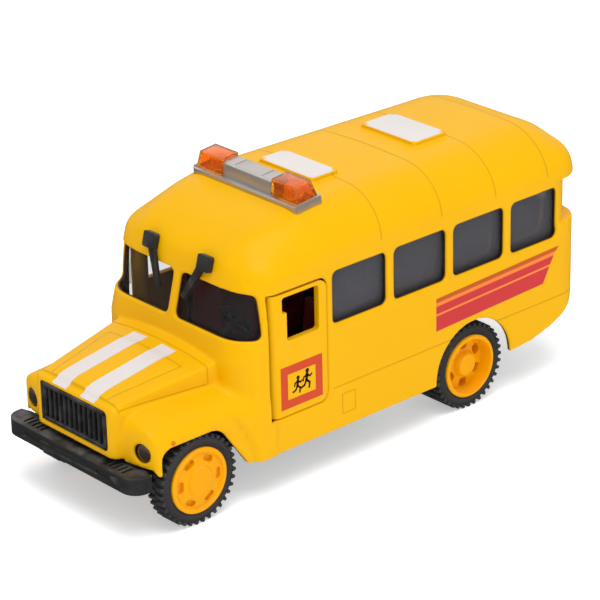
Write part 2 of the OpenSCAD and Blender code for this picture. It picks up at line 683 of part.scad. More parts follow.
lens_x = bar_w / 2 - lens_w;
module light_bar_centre() color("#b4b4b8") bar_place() difference() {
    along_x(-lens_x + fine, lens_x - fine) polygon([
        [1.6, 0], [bar_d - 1.6, 0], [bar_d - 2.4, lens_h - 1.4], [bar_d - 3, lens_h - 0.8],
        [3, lens_h - 0.8], [2.4, lens_h - 1.4]]);
    for (side = [-1, 1]) translate([side * lens_x * 0.55 - 0.3, 2, lens_h - 1.2]) cube([0.6, bar_d - 4, 1]);
}

module lens_form(inset) intersection() {
    along_x(lens_x + inset, bar_w / 2 - 0.9 - inset) polygon([
        [1.2 + inset, inset > 0 ? -1 : 0], [bar_d - 1.2 - inset, inset > 0 ? -1 : 0],
        [bar_d - 2.2 - inset, lens_h - inset], [2.2 + inset, lens_h - inset]]);
    along_y(0, bar_d) polygon([
        [lens_x + inset, -1], [bar_w / 2 - 0.9 - inset, -1], [bar_w / 2 - 0.9 - inset, 0.6],
        [bar_w / 2 - 2.1 - inset, lens_h - inset], [lens_x + inset, lens_h - inset]]);
}
module left_beacon_lens() color("#e8641a") bar_place() difference() {
    lens_form(0);
    lens_form(0.8);
}
module right_beacon_lens() mirror([1, 0, 0]) left_beacon_lens();

module left_beacon() color("#e8e4dc") bar_place() translate([lens_x + lens_w / 2 - 0.6, bar_d / 2, 0]) {
    linear_extrude(lens_h - 2) polygon([for (i = [0:23]) (i % 2 == 0 ? 2.4 : 1.9) * [cos(i * 15), sin(i * 15)]]);
    cylinder(r = 2.9, h = 0.6);
}
module right_beacon() mirror([1, 0, 0]) left_beacon();

// Cab door: plate with a full-height rounded hinge edge and a pin at each end
module left_door() color("gold") {
    difference() {
        union() {
            along_x(inner_w, half_w) polygon(door_outline(hinge_y, door_gap));
            translate([hinge_x, hinge_y, door_z + door_gap]) cylinder(r = hinge_r, h = door_h - 2 * door_gap);
        }
        along_x(half_w - 3 * hinge_r, half_w + 1) {
            polygon(rounded(door_y + 6.2, sill_z + 0.5, door_end - 3.4, door_top - 1.5, 1));
            polygon(rounded(door_y + 4.4, door_top - 6.6, door_end - 6, door_top - 1.5, 0.8));
        }
    }
    for (z = [door_z + door_gap, door_top - door_gap]) translate([hinge_x, hinge_y, z - lug_h])
        cylinder(r = pin_r, h = 2 * lug_h);
}
module right_door() mirror([1, 0, 0]) left_door();

// Tread ring of square lugs
module lug_ring(from, to, turn) along_x(from, to) difference() {
    polygon([for (i = [0:lug_n - 1], k = [-2:2]) let (a = -90 + turn + (i + k * 0.14) * 360 / lug_n)
        (abs(k) == 2 ? tyre_r - 0.9 : tyre_r) * [cos(a), sin(a)]]);
    circle(r = tyre_r - 2);
}

module tyre(w, twin) {
    groove = twin ? 1.5 : 0.5;
    difference() {
        union() {
            rotate([0, 90, 0]) rotate_extrude() polygon([[hub_r, 0], [tyre_r - 2, 0], [tyre_r - 0.9, 0.7],
                [tyre_r - 0.9, w - 0.7], [tyre_r - 2, w], [tyre_r - 2.6, w], [hub_r + 0.6, w - 0.5], [hub_r, w - 0.5]]);
            lug_ring(0.3, w / 2 - groove / 2, 0);
            lug_ring(w / 2 + groove / 2, w - 0.3, twin ? 0 : 180 / lug_n);
        }
        if (twin) rotate([0, 90, 0]) translate([0, 0, w / 2 - groove / 2]) difference() {
            cylinder(r = tyre_r + 1, h = groove);
            translate([0, 0, -1]) cylinder(r = tyre_r - 1.9, h = groove + 2);
        }
    }
}
module front_left_tyre() color("#2c2c30") translate([front_inner, front_axle_y, axle_z]) tyre(front_tyre_w, false);
module front_right_tyre() mirror([1, 0, 0]) front_left_tyre();
module rear_left_tyre() color("#2c2c30") translate([rear_inner, rear_axle_y, axle_z]) tyre(rear_tyre_w, true);
module rear_right_tyre() mirror([1, 0, 0]) rear_left_tyre();

// Front hub: nearly flat disc with a raised cap and six shallow oval pockets
module front_hub(w) difference() {
    rotate([0, 90, 0]) rotate_extrude() polygon([[0, 0], [hub_r, 0], [hub_r, w], [hub_r - 0.5, w + 0.3],
        [hub_r - 1.2, w + 0.3], [hub_r - 1.7, w - 0.4], [4.6, w + 0.3], [4.2, w + 0.9], [3.6, w + 1.1], [0, w + 1.1]]);
    rod_x(-1, w - 1.5, axle_r);
    rotate([0, 90, 0]) for (i = [0:5]) rotate([0, 0, i * 60 + 30]) translate([0, 0, w - 1.3]) linear_extrude(3)
        polygon(rounded(6, -1.9, 8, 1.9, 0.9));
}
module front_left_hub() color("#f5a800") translate([front_inner, front_axle_y, axle_z]) front_hub(front_tyre_w);
module front_right_hub() mirror([1, 0, 0]) front_left_hub();

// Rear hub: deep dish with a centre boss and six pockets between the spokes
module rear_hub(w) difference() {
    rotate([0, 90, 0]) rotate_extrude() polygon([[0, 0], [hub_r, 0], [hub_r, w], [hub_r - 0.5, w + 0.3],
        [hub_r - 1.2, w + 0.3], [hub_r - 1.9, w - 3.6], [4.4, w - 3], [3.4, w - 1.2], [0, w - 1]]);
    rod_x(-1, w - 2.5, axle_r);
    rotate([0, 90, 0]) for (i = [0:5]) rotate([0, 0, i * 60]) translate([0, 0, w - 6.6]) linear_extrude(5)
        polygon(rounded(4.9, -1.7, 8, 1.7, 1.2));
}
module rear_left_hub() color("#f5a800") translate([rear_inner, rear_axle_y, axle_z]) rear_hub(rear_tyre_w);
module rear_right_hub() mirror([1, 0, 0]) rear_left_hub();

module front_axle() color("silver") translate([0, front_axle_y, axle_z]) rod_x(-wheel_x + 1.6, wheel_x - 1.6, axle_r);
module rear_axle() color("silver") translate([0, rear_axle_y, axle_z]) rod_x(-wheel_x + 2.6, wheel_x - 2.6, axle_r);

// Gear outline with straight-flanked teeth, one tooth pointing at the given angle
function gear(n, turn) = let (r = gear_m * n / 2, p = 360 / n)
    [for (i = [0:n - 1], k = [[-0.33, -1.2], [-0.21, 0], [-0.09, 0.85], [0.09, 0.85], [0.21, 0], [0.33, -1.2]])
        let (a = turn + (i + k[0]) * p) (r + k[1] * gear_m) * [cos(a), sin(a)]];

gear_w = 3;
side_a = 0.6;
side_b = -side_a - gear_w;
aim_1 = 180 - mesh_angle;
idler_turn = aim_1 + 180 + 180 / pinion_n;

module drive_gear() color("#e8e6e0") translate([0, rear_axle_y, axle_z]) difference() {
    union() {
        along_x(side_a, side_a + gear_w) polygon(gear(drive_n, aim_1));
        rod_x(-case_w + 0.4, case_w - 0.4, axle_r + 1);
    }
    rod_x(-case_w, case_w, axle_r);
}

module idler_gear() color("#e8e6e0") translate([0, idler_y, idler_z]) difference() {
    union() {
        along_x(side_a, side_a + gear_w) polygon(gear(pinion_n, idler_turn));
        along_x(side_b, side_b + gear_w) polygon(gear(idler_n, 180));
        rod_x(-case_w + 0.4, case_w - 0.4, shaft_r + 0.2 + play);
        rod_x(-side_a - 0.5, side_a + 0.5, pinion_pitch - gear_m * 1.2);
    }
    rod_x(-case_w, case_w, shaft_r + play);
}

module idler_pin() color("silver") translate([0, idler_y, idler_z]) rod_x(-case_w - case_t, case_w + case_t, shaft_r);

module flywheel_shaft() color("silver") translate([0, fly_y, fly_z]) {
    along_x(side_b, side_b + gear_w) polygon(gear(pinion_n, 180 / pinion_n));
    rod_x(-case_w - case_t + 0.2, case_w + case_t - 0.2, shaft_r);
}

disc_x = side_a + gear_w + 0.8;
module left_flywheel_disc() color("#8d9094") translate([0, fly_y, fly_z]) difference() {
    rod_x(disc_x, disc_x + 3, disc_r);
    rod_x(disc_x - 1, disc_x + 4, shaft_r);
}
module right_flywheel_disc() mirror([1, 0, 0]) left_flywheel_disc();

// Half of the motor case, open at the middle plane, with two ears under the chassis
module left_motor_case() color("#d8d6d0") difference() {
    union() {
        along_x(0, case_w + case_t)
            polygon(rounded(case_front - case_t, case_low - case_t, case_back + case_t, case_high + case_t, 2));
        for (y = [case_front + 3, case_back - 2.5]) translate([case_w + case_t - 0.5, y - 2.4, plate_z - 1.5])
            cube([3.7, 4.8, 1.5]);
    }
    along_x(-1, case_w) polygon(rounded(case_front, case_low, case_back, case_high, 1.2));
    translate([0, rear_axle_y, axle_z]) rod_x(0, 20, axle_r + play);
    translate([0, idler_y, idler_z]) rod_x(0, 20, shaft_r);
    translate([0, fly_y, fly_z]) rod_x(0, 20, shaft_r + play);
    motor_ears() translate([0, 0, plate_z - 3]) cylinder(r = 0.8 + fine, h = 5);
}
module right_motor_case() mirror([1, 0, 0]) left_motor_case();

module screw(head_r, head_h, r, h) difference() {
    union() {
        translate([0, 0, -head_h]) cylinder(r = head_r, h = head_h);
        cylinder(r = r, h = h);
    }
    for (a = [0, 90]) rotate([0, 0, a]) translate([-head_r * 0.6, -0.25, -head_h - 1]) cube([head_r * 1.2, 0.5, 1.5]);
}
module body_screws() color("silver") post_places() translate([0, 0, plate_z + 1]) screw(2.4, 1.4, screw_r, 9);
module motor_screws() color("silver") motor_ears() translate([0, 0, plate_z - 1.5]) screw(1.5, 1, 0.8, 3.3);

body_shell();
chassis_plate();
cabin_floor();
cab_seats();
passenger_seats();
dashboard();
steering_wheel();
windscreen();
left_side_glazing();
right_side_glazing();
rear_glazing();
radiator_grille();
left_headlight();
right_headlight();
left_tail_lamp();
right_tail_lamp();
front_bumper();
left_wiper();
right_wiper();
light_bar_base();
light_bar_centre();
left_beacon_lens();
right_beacon_lens();
left_beacon();
right_beacon();
left_door();
right_door();
front_axle();
front_left_hub();
front_left_tyre();
front_right_hub();
front_right_tyre();
rear_axle();
rear_left_hub();
rear_left_tyre();
rear_right_hub();
rear_right_tyre();
drive_gear();
idler_gear();
idler_pin();
flywheel_shaft();
left_flywheel_disc();
right_flywheel_disc();
left_motor_case();
right_motor_case();
body_screws();
motor_screws();
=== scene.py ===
import json
import math
import bmesh
import bpy
import numpy as np
import openvdb
from mathutils import Matrix, Vector
from mathutils.bvhtree import BVHTree


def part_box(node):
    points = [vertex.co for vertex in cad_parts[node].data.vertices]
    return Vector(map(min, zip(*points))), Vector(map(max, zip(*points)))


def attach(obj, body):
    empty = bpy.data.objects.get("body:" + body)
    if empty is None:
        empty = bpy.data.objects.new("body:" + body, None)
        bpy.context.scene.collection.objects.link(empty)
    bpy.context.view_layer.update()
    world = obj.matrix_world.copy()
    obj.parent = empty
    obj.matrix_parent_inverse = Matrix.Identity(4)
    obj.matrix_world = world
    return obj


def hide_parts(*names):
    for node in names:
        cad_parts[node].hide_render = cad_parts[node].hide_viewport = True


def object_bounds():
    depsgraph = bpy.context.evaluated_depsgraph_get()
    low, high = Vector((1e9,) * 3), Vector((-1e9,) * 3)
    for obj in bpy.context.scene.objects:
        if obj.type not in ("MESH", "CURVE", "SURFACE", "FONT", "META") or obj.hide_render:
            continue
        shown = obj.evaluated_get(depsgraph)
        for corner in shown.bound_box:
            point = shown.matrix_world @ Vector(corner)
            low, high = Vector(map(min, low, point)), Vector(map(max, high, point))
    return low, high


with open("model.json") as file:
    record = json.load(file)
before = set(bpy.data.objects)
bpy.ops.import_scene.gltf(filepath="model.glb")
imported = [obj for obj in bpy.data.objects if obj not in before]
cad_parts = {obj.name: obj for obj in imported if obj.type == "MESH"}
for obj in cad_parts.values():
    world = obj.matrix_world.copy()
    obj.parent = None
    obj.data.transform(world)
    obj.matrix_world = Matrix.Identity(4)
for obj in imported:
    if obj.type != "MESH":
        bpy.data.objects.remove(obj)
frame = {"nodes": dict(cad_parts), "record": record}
cad_low, cad_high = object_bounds()
mm = 0.001


# Studio: camera at the photograph's view, a plain pale floor and two large soft lamps.
# The sky is dim near the ground and bright above, and brighter for glossy rays, which gives smooth
# plastic its sheen without lighting the shaded sides.

scene = bpy.context.scene
camera_place = Vector((0.59571, -0.52835, 0.39407))
camera_turn, camera_height, camera_roll = math.radians(48.46), math.radians(23.98), math.radians(-1.21)
camera_lens, sensor_w = 171.1, 36.0
back = Vector((math.cos(camera_height) * math.sin(camera_turn),
               -math.cos(camera_height) * math.cos(camera_turn), math.sin(camera_height)))
level = Vector((math.cos(camera_turn), math.sin(camera_turn), 0))
upright = back.cross(level)
across = level * math.cos(camera_roll) + upright * math.sin(camera_roll)
above = upright * math.cos(camera_roll) - level * math.sin(camera_roll)
camera = bpy.data.objects.new("camera", bpy.data.cameras.new("camera"))
camera.data.lens = camera_lens
camera.data.sensor_width = sensor_w
camera.data.clip_start = 0.01
camera.matrix_world = Matrix((
    (across.x, above.x, back.x, camera_place.x), (across.y, above.y, back.y, camera_place.y),
    (across.z, above.z, back.z, camera_place.z), (0, 0, 0, 1)))
scene.collection.objects.link(camera)
scene.camera = camera
scene.view_settings.view_transform = "Standard"


def add(tree, kind, props=None, inputs=None):
    """New node with its properties set and its inputs set or linked, by name or by number."""
    made = tree.nodes.new(kind)
    for key, value in (props or {}).items():
        setattr(made, key, value)
    for key, value in (inputs or {}).items():
        if isinstance(value, bpy.types.NodeSocket):
            tree.links.new(value, made.inputs[key])
        else:
            made.inputs[key].default_value = value
    return made


def lamp(name, place, size, power):
    """Square soft lamp turned to the middle of the bus."""
    light = bpy.data.lights.new(name, "AREA")
    light.energy = power
    light.size = size
    made = bpy.data.objects.new(name, light)
    made.location = place
    made.rotation_euler = (Vector(place) - lamp_target).to_track_quat("Z", "Y").to_euler()
    scene.collection.objects.link(made)


lamp_target = Vector((0, 0, 0.04))
lamp("key_lamp", (0.3, -0.2, 1.1), size=0.7, power=7.4)
lamp("fill_lamp", (0.9, -0.1, 0.5), size=0.6, power=0.9)

sky_low, sky_high, glossy_gain = 0.06, 0.62, 1.0
world = bpy.data.worlds.new("studio")
world.use_nodes = True
scene.world = world
sky = world.node_tree
sky.nodes.clear()
seen = add(sky, "ShaderNodeLightPath")
sky_way = add(sky, "ShaderNodeTexCoord")
sky_parts = add(sky, "ShaderNodeSeparateXYZ", inputs={0: sky_way.outputs["Generated"]})
sky_rise = add(sky, "ShaderNodeMapRange", inputs={
    "Value": sky_parts.outputs["Z"], "From Min": -0.1, "From Max": 0.35,
    "To Min": sky_low, "To Max": sky_high})
sky_gain = add(sky, "ShaderNodeMath", {"operation": "MULTIPLY_ADD"}, {
    0: seen.outputs["Is Glossy Ray"], 1: glossy_gain, 2: 1.0})
sky_level = add(sky, "ShaderNodeMath", {"operation": "MULTIPLY"}, {
    0: sky_rise.outputs[0], 1: sky_gain.outputs[0]})
soft_sky = add(sky, "ShaderNodeBackground", inputs={"Color": (1, 1, 1, 1), "Strength": sky_level.outputs[0]})
white_sky = add(sky, "ShaderNodeBackground", inputs={"Color": (1, 1, 1, 1), "Strength": 1.0})
sky_mix = add(sky, "ShaderNodeMixShader", inputs={
    0: seen.outputs["Is Camera Ray"], 1: soft_sky.outputs[0], 2: white_sky.outputs[0]})
add(sky, "ShaderNodeOutputWorld", inputs={"Surface": sky_mix.outputs[0]})

floor_half, floor_glow = 4.0, 0.42
floor_mesh = bpy.data.meshes.new("floor")
floor_corners = [(x * floor_half, y * floor_half, 0) for x, y in ((-1, -1), (1, -1), (1, 1), (-1, 1))]
floor_mesh.from_pydata(floor_corners, [], [(0, 1, 2, 3)])
floor = bpy.data.objects.new("floor", floor_mesh)
scene.collection.objects.link(floor)
floor_look = bpy.data.materials.new("floor_paper")
floor_look.use_nodes = True
paper = floor_look.node_tree
paper_shader = paper.nodes["Principled BSDF"]
paper_noise = add(paper, "ShaderNodeTexNoise", inputs={"Scale": 60.0, "Detail": 3.0})
paper_tone = add(paper, "ShaderNodeMapRange", inputs={
    "Value": paper_noise.outputs["Fac"], "To Min": 0.93, "To Max": 0.95})
paper.links.new(paper_tone.outputs[0], paper_shader.inputs["Base Color"])
paper_shader.inputs["Roughness"].default_value = 0.9
paper_shader.inputs["Emission Color"].default_value = (1, 1, 1, 1)
paper_shader.inputs["Emission Strength"].default_value = floor_glow
floor_mesh.materials.append(floor_look)
floor.visible_glossy = False


# Chassis plate: one black injection moulding that carries both axles and closes the bus from below.
# Four steel screws hold it to posts in the body, and four more hold the drive's case under it.

def shared_group(name, sockets_in, sockets_out):
    """Empty shader group with named value, colour or vector sockets."""
    tree = bpy.data.node_groups.new(name, "ShaderNodeTree")
    for label, kind, value in sockets_in:
        socket = tree.interface.new_socket(label, in_out="INPUT", socket_type=kind)
        if value is not None:
            socket.default_value = value
    for label, kind in sockets_out:
        tree.interface.new_socket(label, in_out="OUTPUT", socket_type=kind)
    return tree, tree.nodes.new("NodeGroupInput"), tree.nodes.new("NodeGroupOutput")


# Colour drift and fine relief that every moulding carries
grain, grain_in, grain_out = shared_group(
    "moulded_grain",
    [("Place", "NodeSocketVector", None), ("Fineness", "NodeSocketFloat", 1200.0),
     ("Drift", "NodeSocketFloat", 0.05)],
    [("Tone", "NodeSocketFloat"), ("Relief", "NodeSocketFloat"), ("Gloss", "NodeSocketFloat")])
broad = add(grain, "ShaderNodeTexNoise", inputs={
    "Vector": grain_in.outputs["Place"], "Scale": 45.0, "Detail": 3.0})
fine = add(grain, "ShaderNodeTexNoise", inputs={
    "Vector": grain_in.outputs["Place"], "Scale": grain_in.outputs["Fineness"], "Detail": 2.0})
swing = add(grain, "ShaderNodeMath", {"operation": "SUBTRACT"}, {0: broad.outputs["Fac"], 1: 0.5})
swing_out = add(grain, "ShaderNodeMath", {"operation": "MULTIPLY_ADD"}, {
    0: swing.outputs[0], 1: grain_in.outputs["Drift"], 2: 1.0})
gloss = add(grain, "ShaderNodeMath", {"operation": "MULTIPLY_ADD"}, {
    0: fine.outputs["Fac"], 1: 0.5, 2: 0.75})
grain.links.new(swing_out.outputs[0], grain_out.inputs["Tone"])
grain.links.new(fine.outputs["Fac"], grain_out.inputs["Relief"])
grain.links.new(gloss.outputs[0], grain_out.inputs["Gloss"])

# Light rubbing along edges and a trace of dust on what faces up
wear, wear_in, wear_out = shared_group(
    "handling_wear", [("Place", "NodeSocketVector", None)],
    [("Edge", "NodeSocketFloat"), ("Dust", "NodeSocketFloat")])
shape = add(wear, "ShaderNodeNewGeometry")
ridge = add(wear, "ShaderNodeMapRange", inputs={
    "Value": shape.outputs["Pointiness"], "From Min": 0.53, "From Max": 0.62})
patches = add(wear, "ShaderNodeTexNoise", inputs={
    "Vector": wear_in.outputs["Place"], "Scale": 260.0, "Detail": 4.0})
patchy = add(wear, "ShaderNodeMapRange", inputs={
    "Value": patches.outputs["Fac"], "From Min": 0.42, "From Max": 0.7})
edge_mask = add(wear, "ShaderNodeMath", {"operation": "MULTIPLY"}, {
    0: ridge.outputs[0], 1: patchy.outputs[0]})
facing = add(wear, "ShaderNodeSeparateXYZ", inputs={0: shape.outputs["Normal"]})
upward = add(wear, "ShaderNodeMapRange", inputs={
    "Value": facing.outputs["Z"], "From Min": 0.6, "From Max": 1.0})
dust_mask = add(wear, "ShaderNodeMath", {"operation": "MULTIPLY"}, {
    0: upward.outputs[0], 1: patchy.outputs[0]})
wear.links.new(edge_mask.outputs[0], wear_out.inputs["Edge"])
wear.links.new(dust_mask.outputs[0], wear_out.inputs["Dust"])


def mix_colour(tree, amount, first, second):
    """Output that goes from the first colour to the second by the amount."""
    mixed = add(tree, "ShaderNodeMix", {"data_type": "RGBA"}, {0: amount, 6: first, 7: second})
    return mixed.outputs[2]


# The groove darkening is painted shade; the depth sinks the grooves by bump.
line_shade, line_depth = 0.38, 8.0
# Dust is a real trace; the cavity colour is painted shade, a dark brown for the shell's interior and the
# walls of its openings.
dust_colour, cavity_shade_colour = (0.55, 0.53, 0.5, 1.0), (0.045, 0.02, 0.008, 1.0)


def moulded(name, colour, rough, fineness=1200.0, drift=0.1, relief=0.02, worn=0.15, dusty=0.05,
            sockets=None, lines=None):
    """Moulded plastic, rubber or metal: drifting colour, fine relief, rubbed edges and a trace of dust.
    Lines, where given, is a function that adds the masks of the moulded lines, which are darkened with
    painted shade in their grooves, and of the painted shade on the shell's interior and the walls of its
    openings."""
    look = bpy.data.materials.new(name)
    look.use_nodes = True
    tree = look.node_tree
    shader = tree.nodes["Principled BSDF"]
    place = add(tree, "ShaderNodeTexCoord").outputs["Object"]
    surface = add(tree, "ShaderNodeGroup", {"node_tree": grain}, {
        "Place": place, "Fineness": fineness, "Drift": drift})
    rubbed = add(tree, "ShaderNodeGroup", {"node_tree": wear}, {"Place": place})
    toned = add(tree, "ShaderNodeVectorMath", {"operation": "SCALE"}, {
        0: colour, "Scale": surface.outputs["Tone"]}).outputs[0]
    pale = tuple(min(1.0, 0.55 * c + 0.3) for c in colour) + (1.0,)
    edge = add(tree, "ShaderNodeMath", {"operation": "MULTIPLY"}, {0: rubbed.outputs["Edge"], 1: worn})
    dust = add(tree, "ShaderNodeMath", {"operation": "MULTIPLY"}, {0: rubbed.outputs["Dust"], 1: dusty})
    lit = mix_colour(tree, edge.outputs[0], toned, pale)
    shade = mix_colour(tree, dust.outputs[0], lit, dust_colour)
    height = surface.outputs["Relief"]
    if lines:
        cut, inside_shade = lines(tree, place)
        # Painted shade: the moulded grooves are darkened towards a third of the colour.
        groove_shade = add(tree, "ShaderNodeMath", {"operation": "MULTIPLY"}, {0: cut, 1: line_shade}).outputs[0]
        shade = mix_colour(tree, groove_shade, shade, tuple(0.35 * c for c in colour) + (1.0,))
        # Painted shade: points deeper below the skin, on the walls of the openings and the interior, turn
        # dark brown.
        shade = mix_colour(tree, inside_shade, shade, cavity_shade_colour)
        height = add(tree, "ShaderNodeMath", {"operation": "MULTIPLY_ADD"}, {
            0: cut, 1: -line_depth, 2: height}).outputs[0]
    tree.links.new(shade, shader.inputs["Base Color"])
    shader.inputs["Specular IOR Level"].default_value = 0.35
    roughness = add(tree, "ShaderNodeMath", {"operation": "MULTIPLY", "use_clamp": True}, {
        0: surface.outputs["Gloss"], 1: rough})
    tree.links.new(roughness.outputs[0], shader.inputs["Roughness"])
    bump = add(tree, "ShaderNodeBump", inputs={
        "Height": height, "Strength": 1.0, "Distance": relief * mm})
    tree.links.new(bump.outputs[0], shader.inputs["Normal"])
    for key, value in (sockets or {}).items():
        shader.inputs[key].default_value = value
    return look


def piece(name, mesh, look, body, nodes=()):
    """Object in the scene that rides on its body and stands for its CAD nodes."""
    made = bpy.data.objects.new(name, mesh)
    scene.collection.objects.link(made)
    mesh.materials.clear()
    mesh.materials.append(look)
    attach(made, body)
    if nodes:
        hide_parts(*nodes)


def evaluated(made):
    """Mesh with the object's modifiers applied, the object removed."""
    bpy.context.view_layer.update()
    mesh = bpy.data.meshes.new_from_object(made.evaluated_get(bpy.context.evaluated_depsgraph_get()))
    bpy.data.objects.remove(made)
    return mesh


def softened(mesh, width, segments=2, angle=28):
    """Mesh with its sharp edges rounded, shaded smooth."""
    made = bpy.data.objects.new("softened", mesh)
    scene.collection.objects.link(made)
    bevel = made.modifiers.new("rounding", "BEVEL")
    bevel.width = width * mm
    bevel.segments = segments
    bevel.limit_method = "ANGLE"
    bevel.angle_limit = math.radians(angle)
    bevel.use_clamp_overlap = True
    result = evaluated(made)
    result.polygons.foreach_set("use_smooth", np.ones(len(result.polygons), bool))
    result.set_sharp_from_angle(angle=math.radians(angle + 8))
    return result


def copied(node):
    """Welded copy of a CAD node's mesh with its flat faces joined."""
    mesh = frame["nodes"][node].data.copy()
    work = bmesh.new()
    work.from_mesh(mesh)
    bmesh.ops.remove_doubles(work, verts=work.verts, dist=0.002 * mm)
    bmesh.ops.dissolve_limit(work, angle_limit=math.radians(0.4), verts=work.verts, edges=work.edges)
    work.to_mesh(mesh)
    work.free()
    for attribute in [a.name for a in mesh.attributes if a.name.startswith("custom_normal")]:
        mesh.attributes.remove(mesh.attributes[attribute])
    return mesh


record = frame["record"]
body_of = {node: body for body, nodes in record["behaviour"]["bodies"].items() for node in nodes}


def dressed(node, look, width, segments=2, angle=28):
    """Piece that stands for one CAD node, with its moulded edges rounded."""
    mesh = softened(copied(node), width, segments, angle)
    piece(node + "_piece", mesh, look, body_of[node], [node])


black_plastic = moulded("black_plastic", (0.016, 0.015, 0.015), 0.5, drift=0.3, relief=0.03, dusty=0.08)
bright_steel = moulded("bright_steel", (0.62, 0.61, 0.6), 0.3, fineness=3000.0, relief=0.01,
                       sockets={"Metallic": 1.0})
dressed("chassis_plate", black_plastic, 0.3)
dressed("body_screws", bright_steel, 0.15)
dressed("motor_screws", bright_steel, 0.1)


# Friction drive: white nylon gears and steel flywheel discs between two moulded halves of a pale case.
# The rear axle drives the idler, and the idler drives the flywheel's pinion.
# Axles, pin and shaft are bright steel rods.

gear_plastic = moulded("gear_plastic", (0.8, 0.79, 0.74), 0.42, drift=0.06,
                       sockets={"Subsurface Weight": 0.1})
case_plastic = moulded("case_plastic", (0.66, 0.65, 0.6), 0.48, drift=0.08)
dressed("drive_gear", gear_plastic, 0.08, 1)
dressed("idler_gear", gear_plastic, 0.08, 1)
for node in ("idler_pin", "flywheel_shaft", "front_axle", "rear_axle"):
    dressed(node, bright_steel, 0.12)
for node in ("left_flywheel_disc", "right_flywheel_disc"):
    dressed(node, bright_steel, 0.3)
for node in ("left_motor_case", "right_motor_case"):
    dressed(node, case_plastic, 0.3)


# Wheels: yellow moulded hubs pressed on the axles, and soft black tyres stretched over them.
# Each tyre has two rings of square lugs, staggered on the narrow front tyres, side by side at the back.

low_sheen = {"Specular IOR Level": 0.1}
hub_plastic = moulded("yellow_hub", (0.86, 0.37, 0.0), 0.34, drift=0.08, relief=0.015, sockets=low_sheen)
tyre_rubber = moulded("tyre_rubber", (0.03, 0.03, 0.032), 0.62, fineness=1800.0, drift=0.35,
                      relief=0.05, dusty=0.12)
tyre_r, hub_r, lug_count, lug_sink = 14.1, 10.2, 36, 0.9
side_r, rim_r = tyre_r - 2, tyre_r - 2.6
tread_edge, bead_sink, bead_h, groove_depth = 0.7, 0.5, 0.6, 1.0
lug_edge, lug_foot, lug_base, lug_top = 0.3, 0.3, 0.28, 0.17
repeat = bpy.data.node_groups.new("row_or_ring", "GeometryNodeTree")
socket_of = {}
for label, kind in (("Geometry", "NodeSocketGeometry"), ("Count", "NodeSocketInt"),
                    ("Step", "NodeSocketVector"), ("Turn", "NodeSocketVector"),
                    ("Look", "NodeSocketMaterial")):
    socket_of[label] = repeat.interface.new_socket(label, in_out="INPUT", socket_type=kind).identifier
repeat.interface.new_socket("Geometry", in_out="OUTPUT", socket_type="NodeSocketGeometry")
given = repeat.nodes.new("NodeGroupInput")
spots = add(repeat, "GeometryNodeMeshLine", {"mode": "OFFSET"}, {
    "Count": given.outputs["Count"], "Offset": given.outputs["Step"]})
index = add(repeat, "GeometryNodeInputIndex")
angles = add(repeat, "ShaderNodeVectorMath", {"operation": "SCALE"}, {
    0: given.outputs["Turn"], "Scale": index.outputs[0]})
copies = add(repeat, "GeometryNodeInstanceOnPoints", None, {
    "Points": spots.outputs[0], "Instance": given.outputs["Geometry"], "Rotation": angles.outputs[0]})
whole = add(repeat, "GeometryNodeRealizeInstances", None, {0: copies.outputs[0]})
coated = add(repeat, "GeometryNodeSetMaterial", None, {
    0: whole.outputs[0], "Material": given.outputs["Look"]})
repeat.links.new(coated.outputs[0], repeat.nodes.new("NodeGroupOutput").inputs[0])


def repeated(unit, count, step, turn, look):
    """Mesh of the unit set out in a row or turned into a ring about the x axis."""
    made = bpy.data.objects.new("repeated", unit)
    scene.collection.objects.link(made)
    modifier = made.modifiers.new("repeat", "NODES")
    modifier.node_group = repeat
    for label, value in (("Count", count), ("Step", step), ("Turn", turn), ("Look", look)):
        modifier[socket_of[label]] = value
    return evaluated(made)


def block(x0, x1, base_r, base_half, top_r, top_half):
    """Tread lug that points up from the wheel's axis, narrower at its top."""
    rows = [(x, side * half, r) for r, half in ((base_r, base_half), (top_r, top_half))
            for x in (x0, x1) for side in (-1, 1)]
    mesh = bpy.data.meshes.new("lug")
    mesh.from_pydata([[c * mm for c in row] for row in rows], [],
                     [(0, 1, 3, 2), (4, 6, 7, 5), (0, 4, 5, 1), (2, 3, 7, 6), (0, 2, 6, 4), (1, 5, 7, 3)])
    return softened(mesh, 0.15)


def turned(profile, count=96):
    """Closed profile of radius and x, turned about the x axis."""
    work = bmesh.new()
    rings = []
    for k in range(count):
        angle = k * 2 * math.pi / count
        rings.append([work.verts.new((x * mm, r * mm * math.sin(angle), r * mm * math.cos(angle)))
                      for r, x in profile])
    for here, after in zip(rings, rings[1:] + rings[:1]):
        for i in range(len(profile)):
            j = (i + 1) % len(profile)
            work.faces.new((here[i], here[j], after[j], after[i]))
    bmesh.ops.recalc_face_normals(work, faces=work.faces)
    mesh = bpy.data.meshes.new("turned")
    work.to_mesh(mesh)
    work.free()
    return softened(mesh, 0.25, 2, 24)


def together(meshes, place, mirrored=False):
    """One mesh from several, set in its place in metres, mirrored left to right where asked."""
    work = bmesh.new()
    for mesh in meshes:
        work.from_mesh(mesh)
    for vertex in work.verts:
        vertex.co = Vector((-vertex.co.x if mirrored else vertex.co.x, vertex.co.y, vertex.co.z)) + place
    if mirrored:
        bmesh.ops.reverse_faces(work, faces=work.faces)
    mesh = bpy.data.meshes.new("together")
    work.to_mesh(mesh)
    work.free()
    return mesh


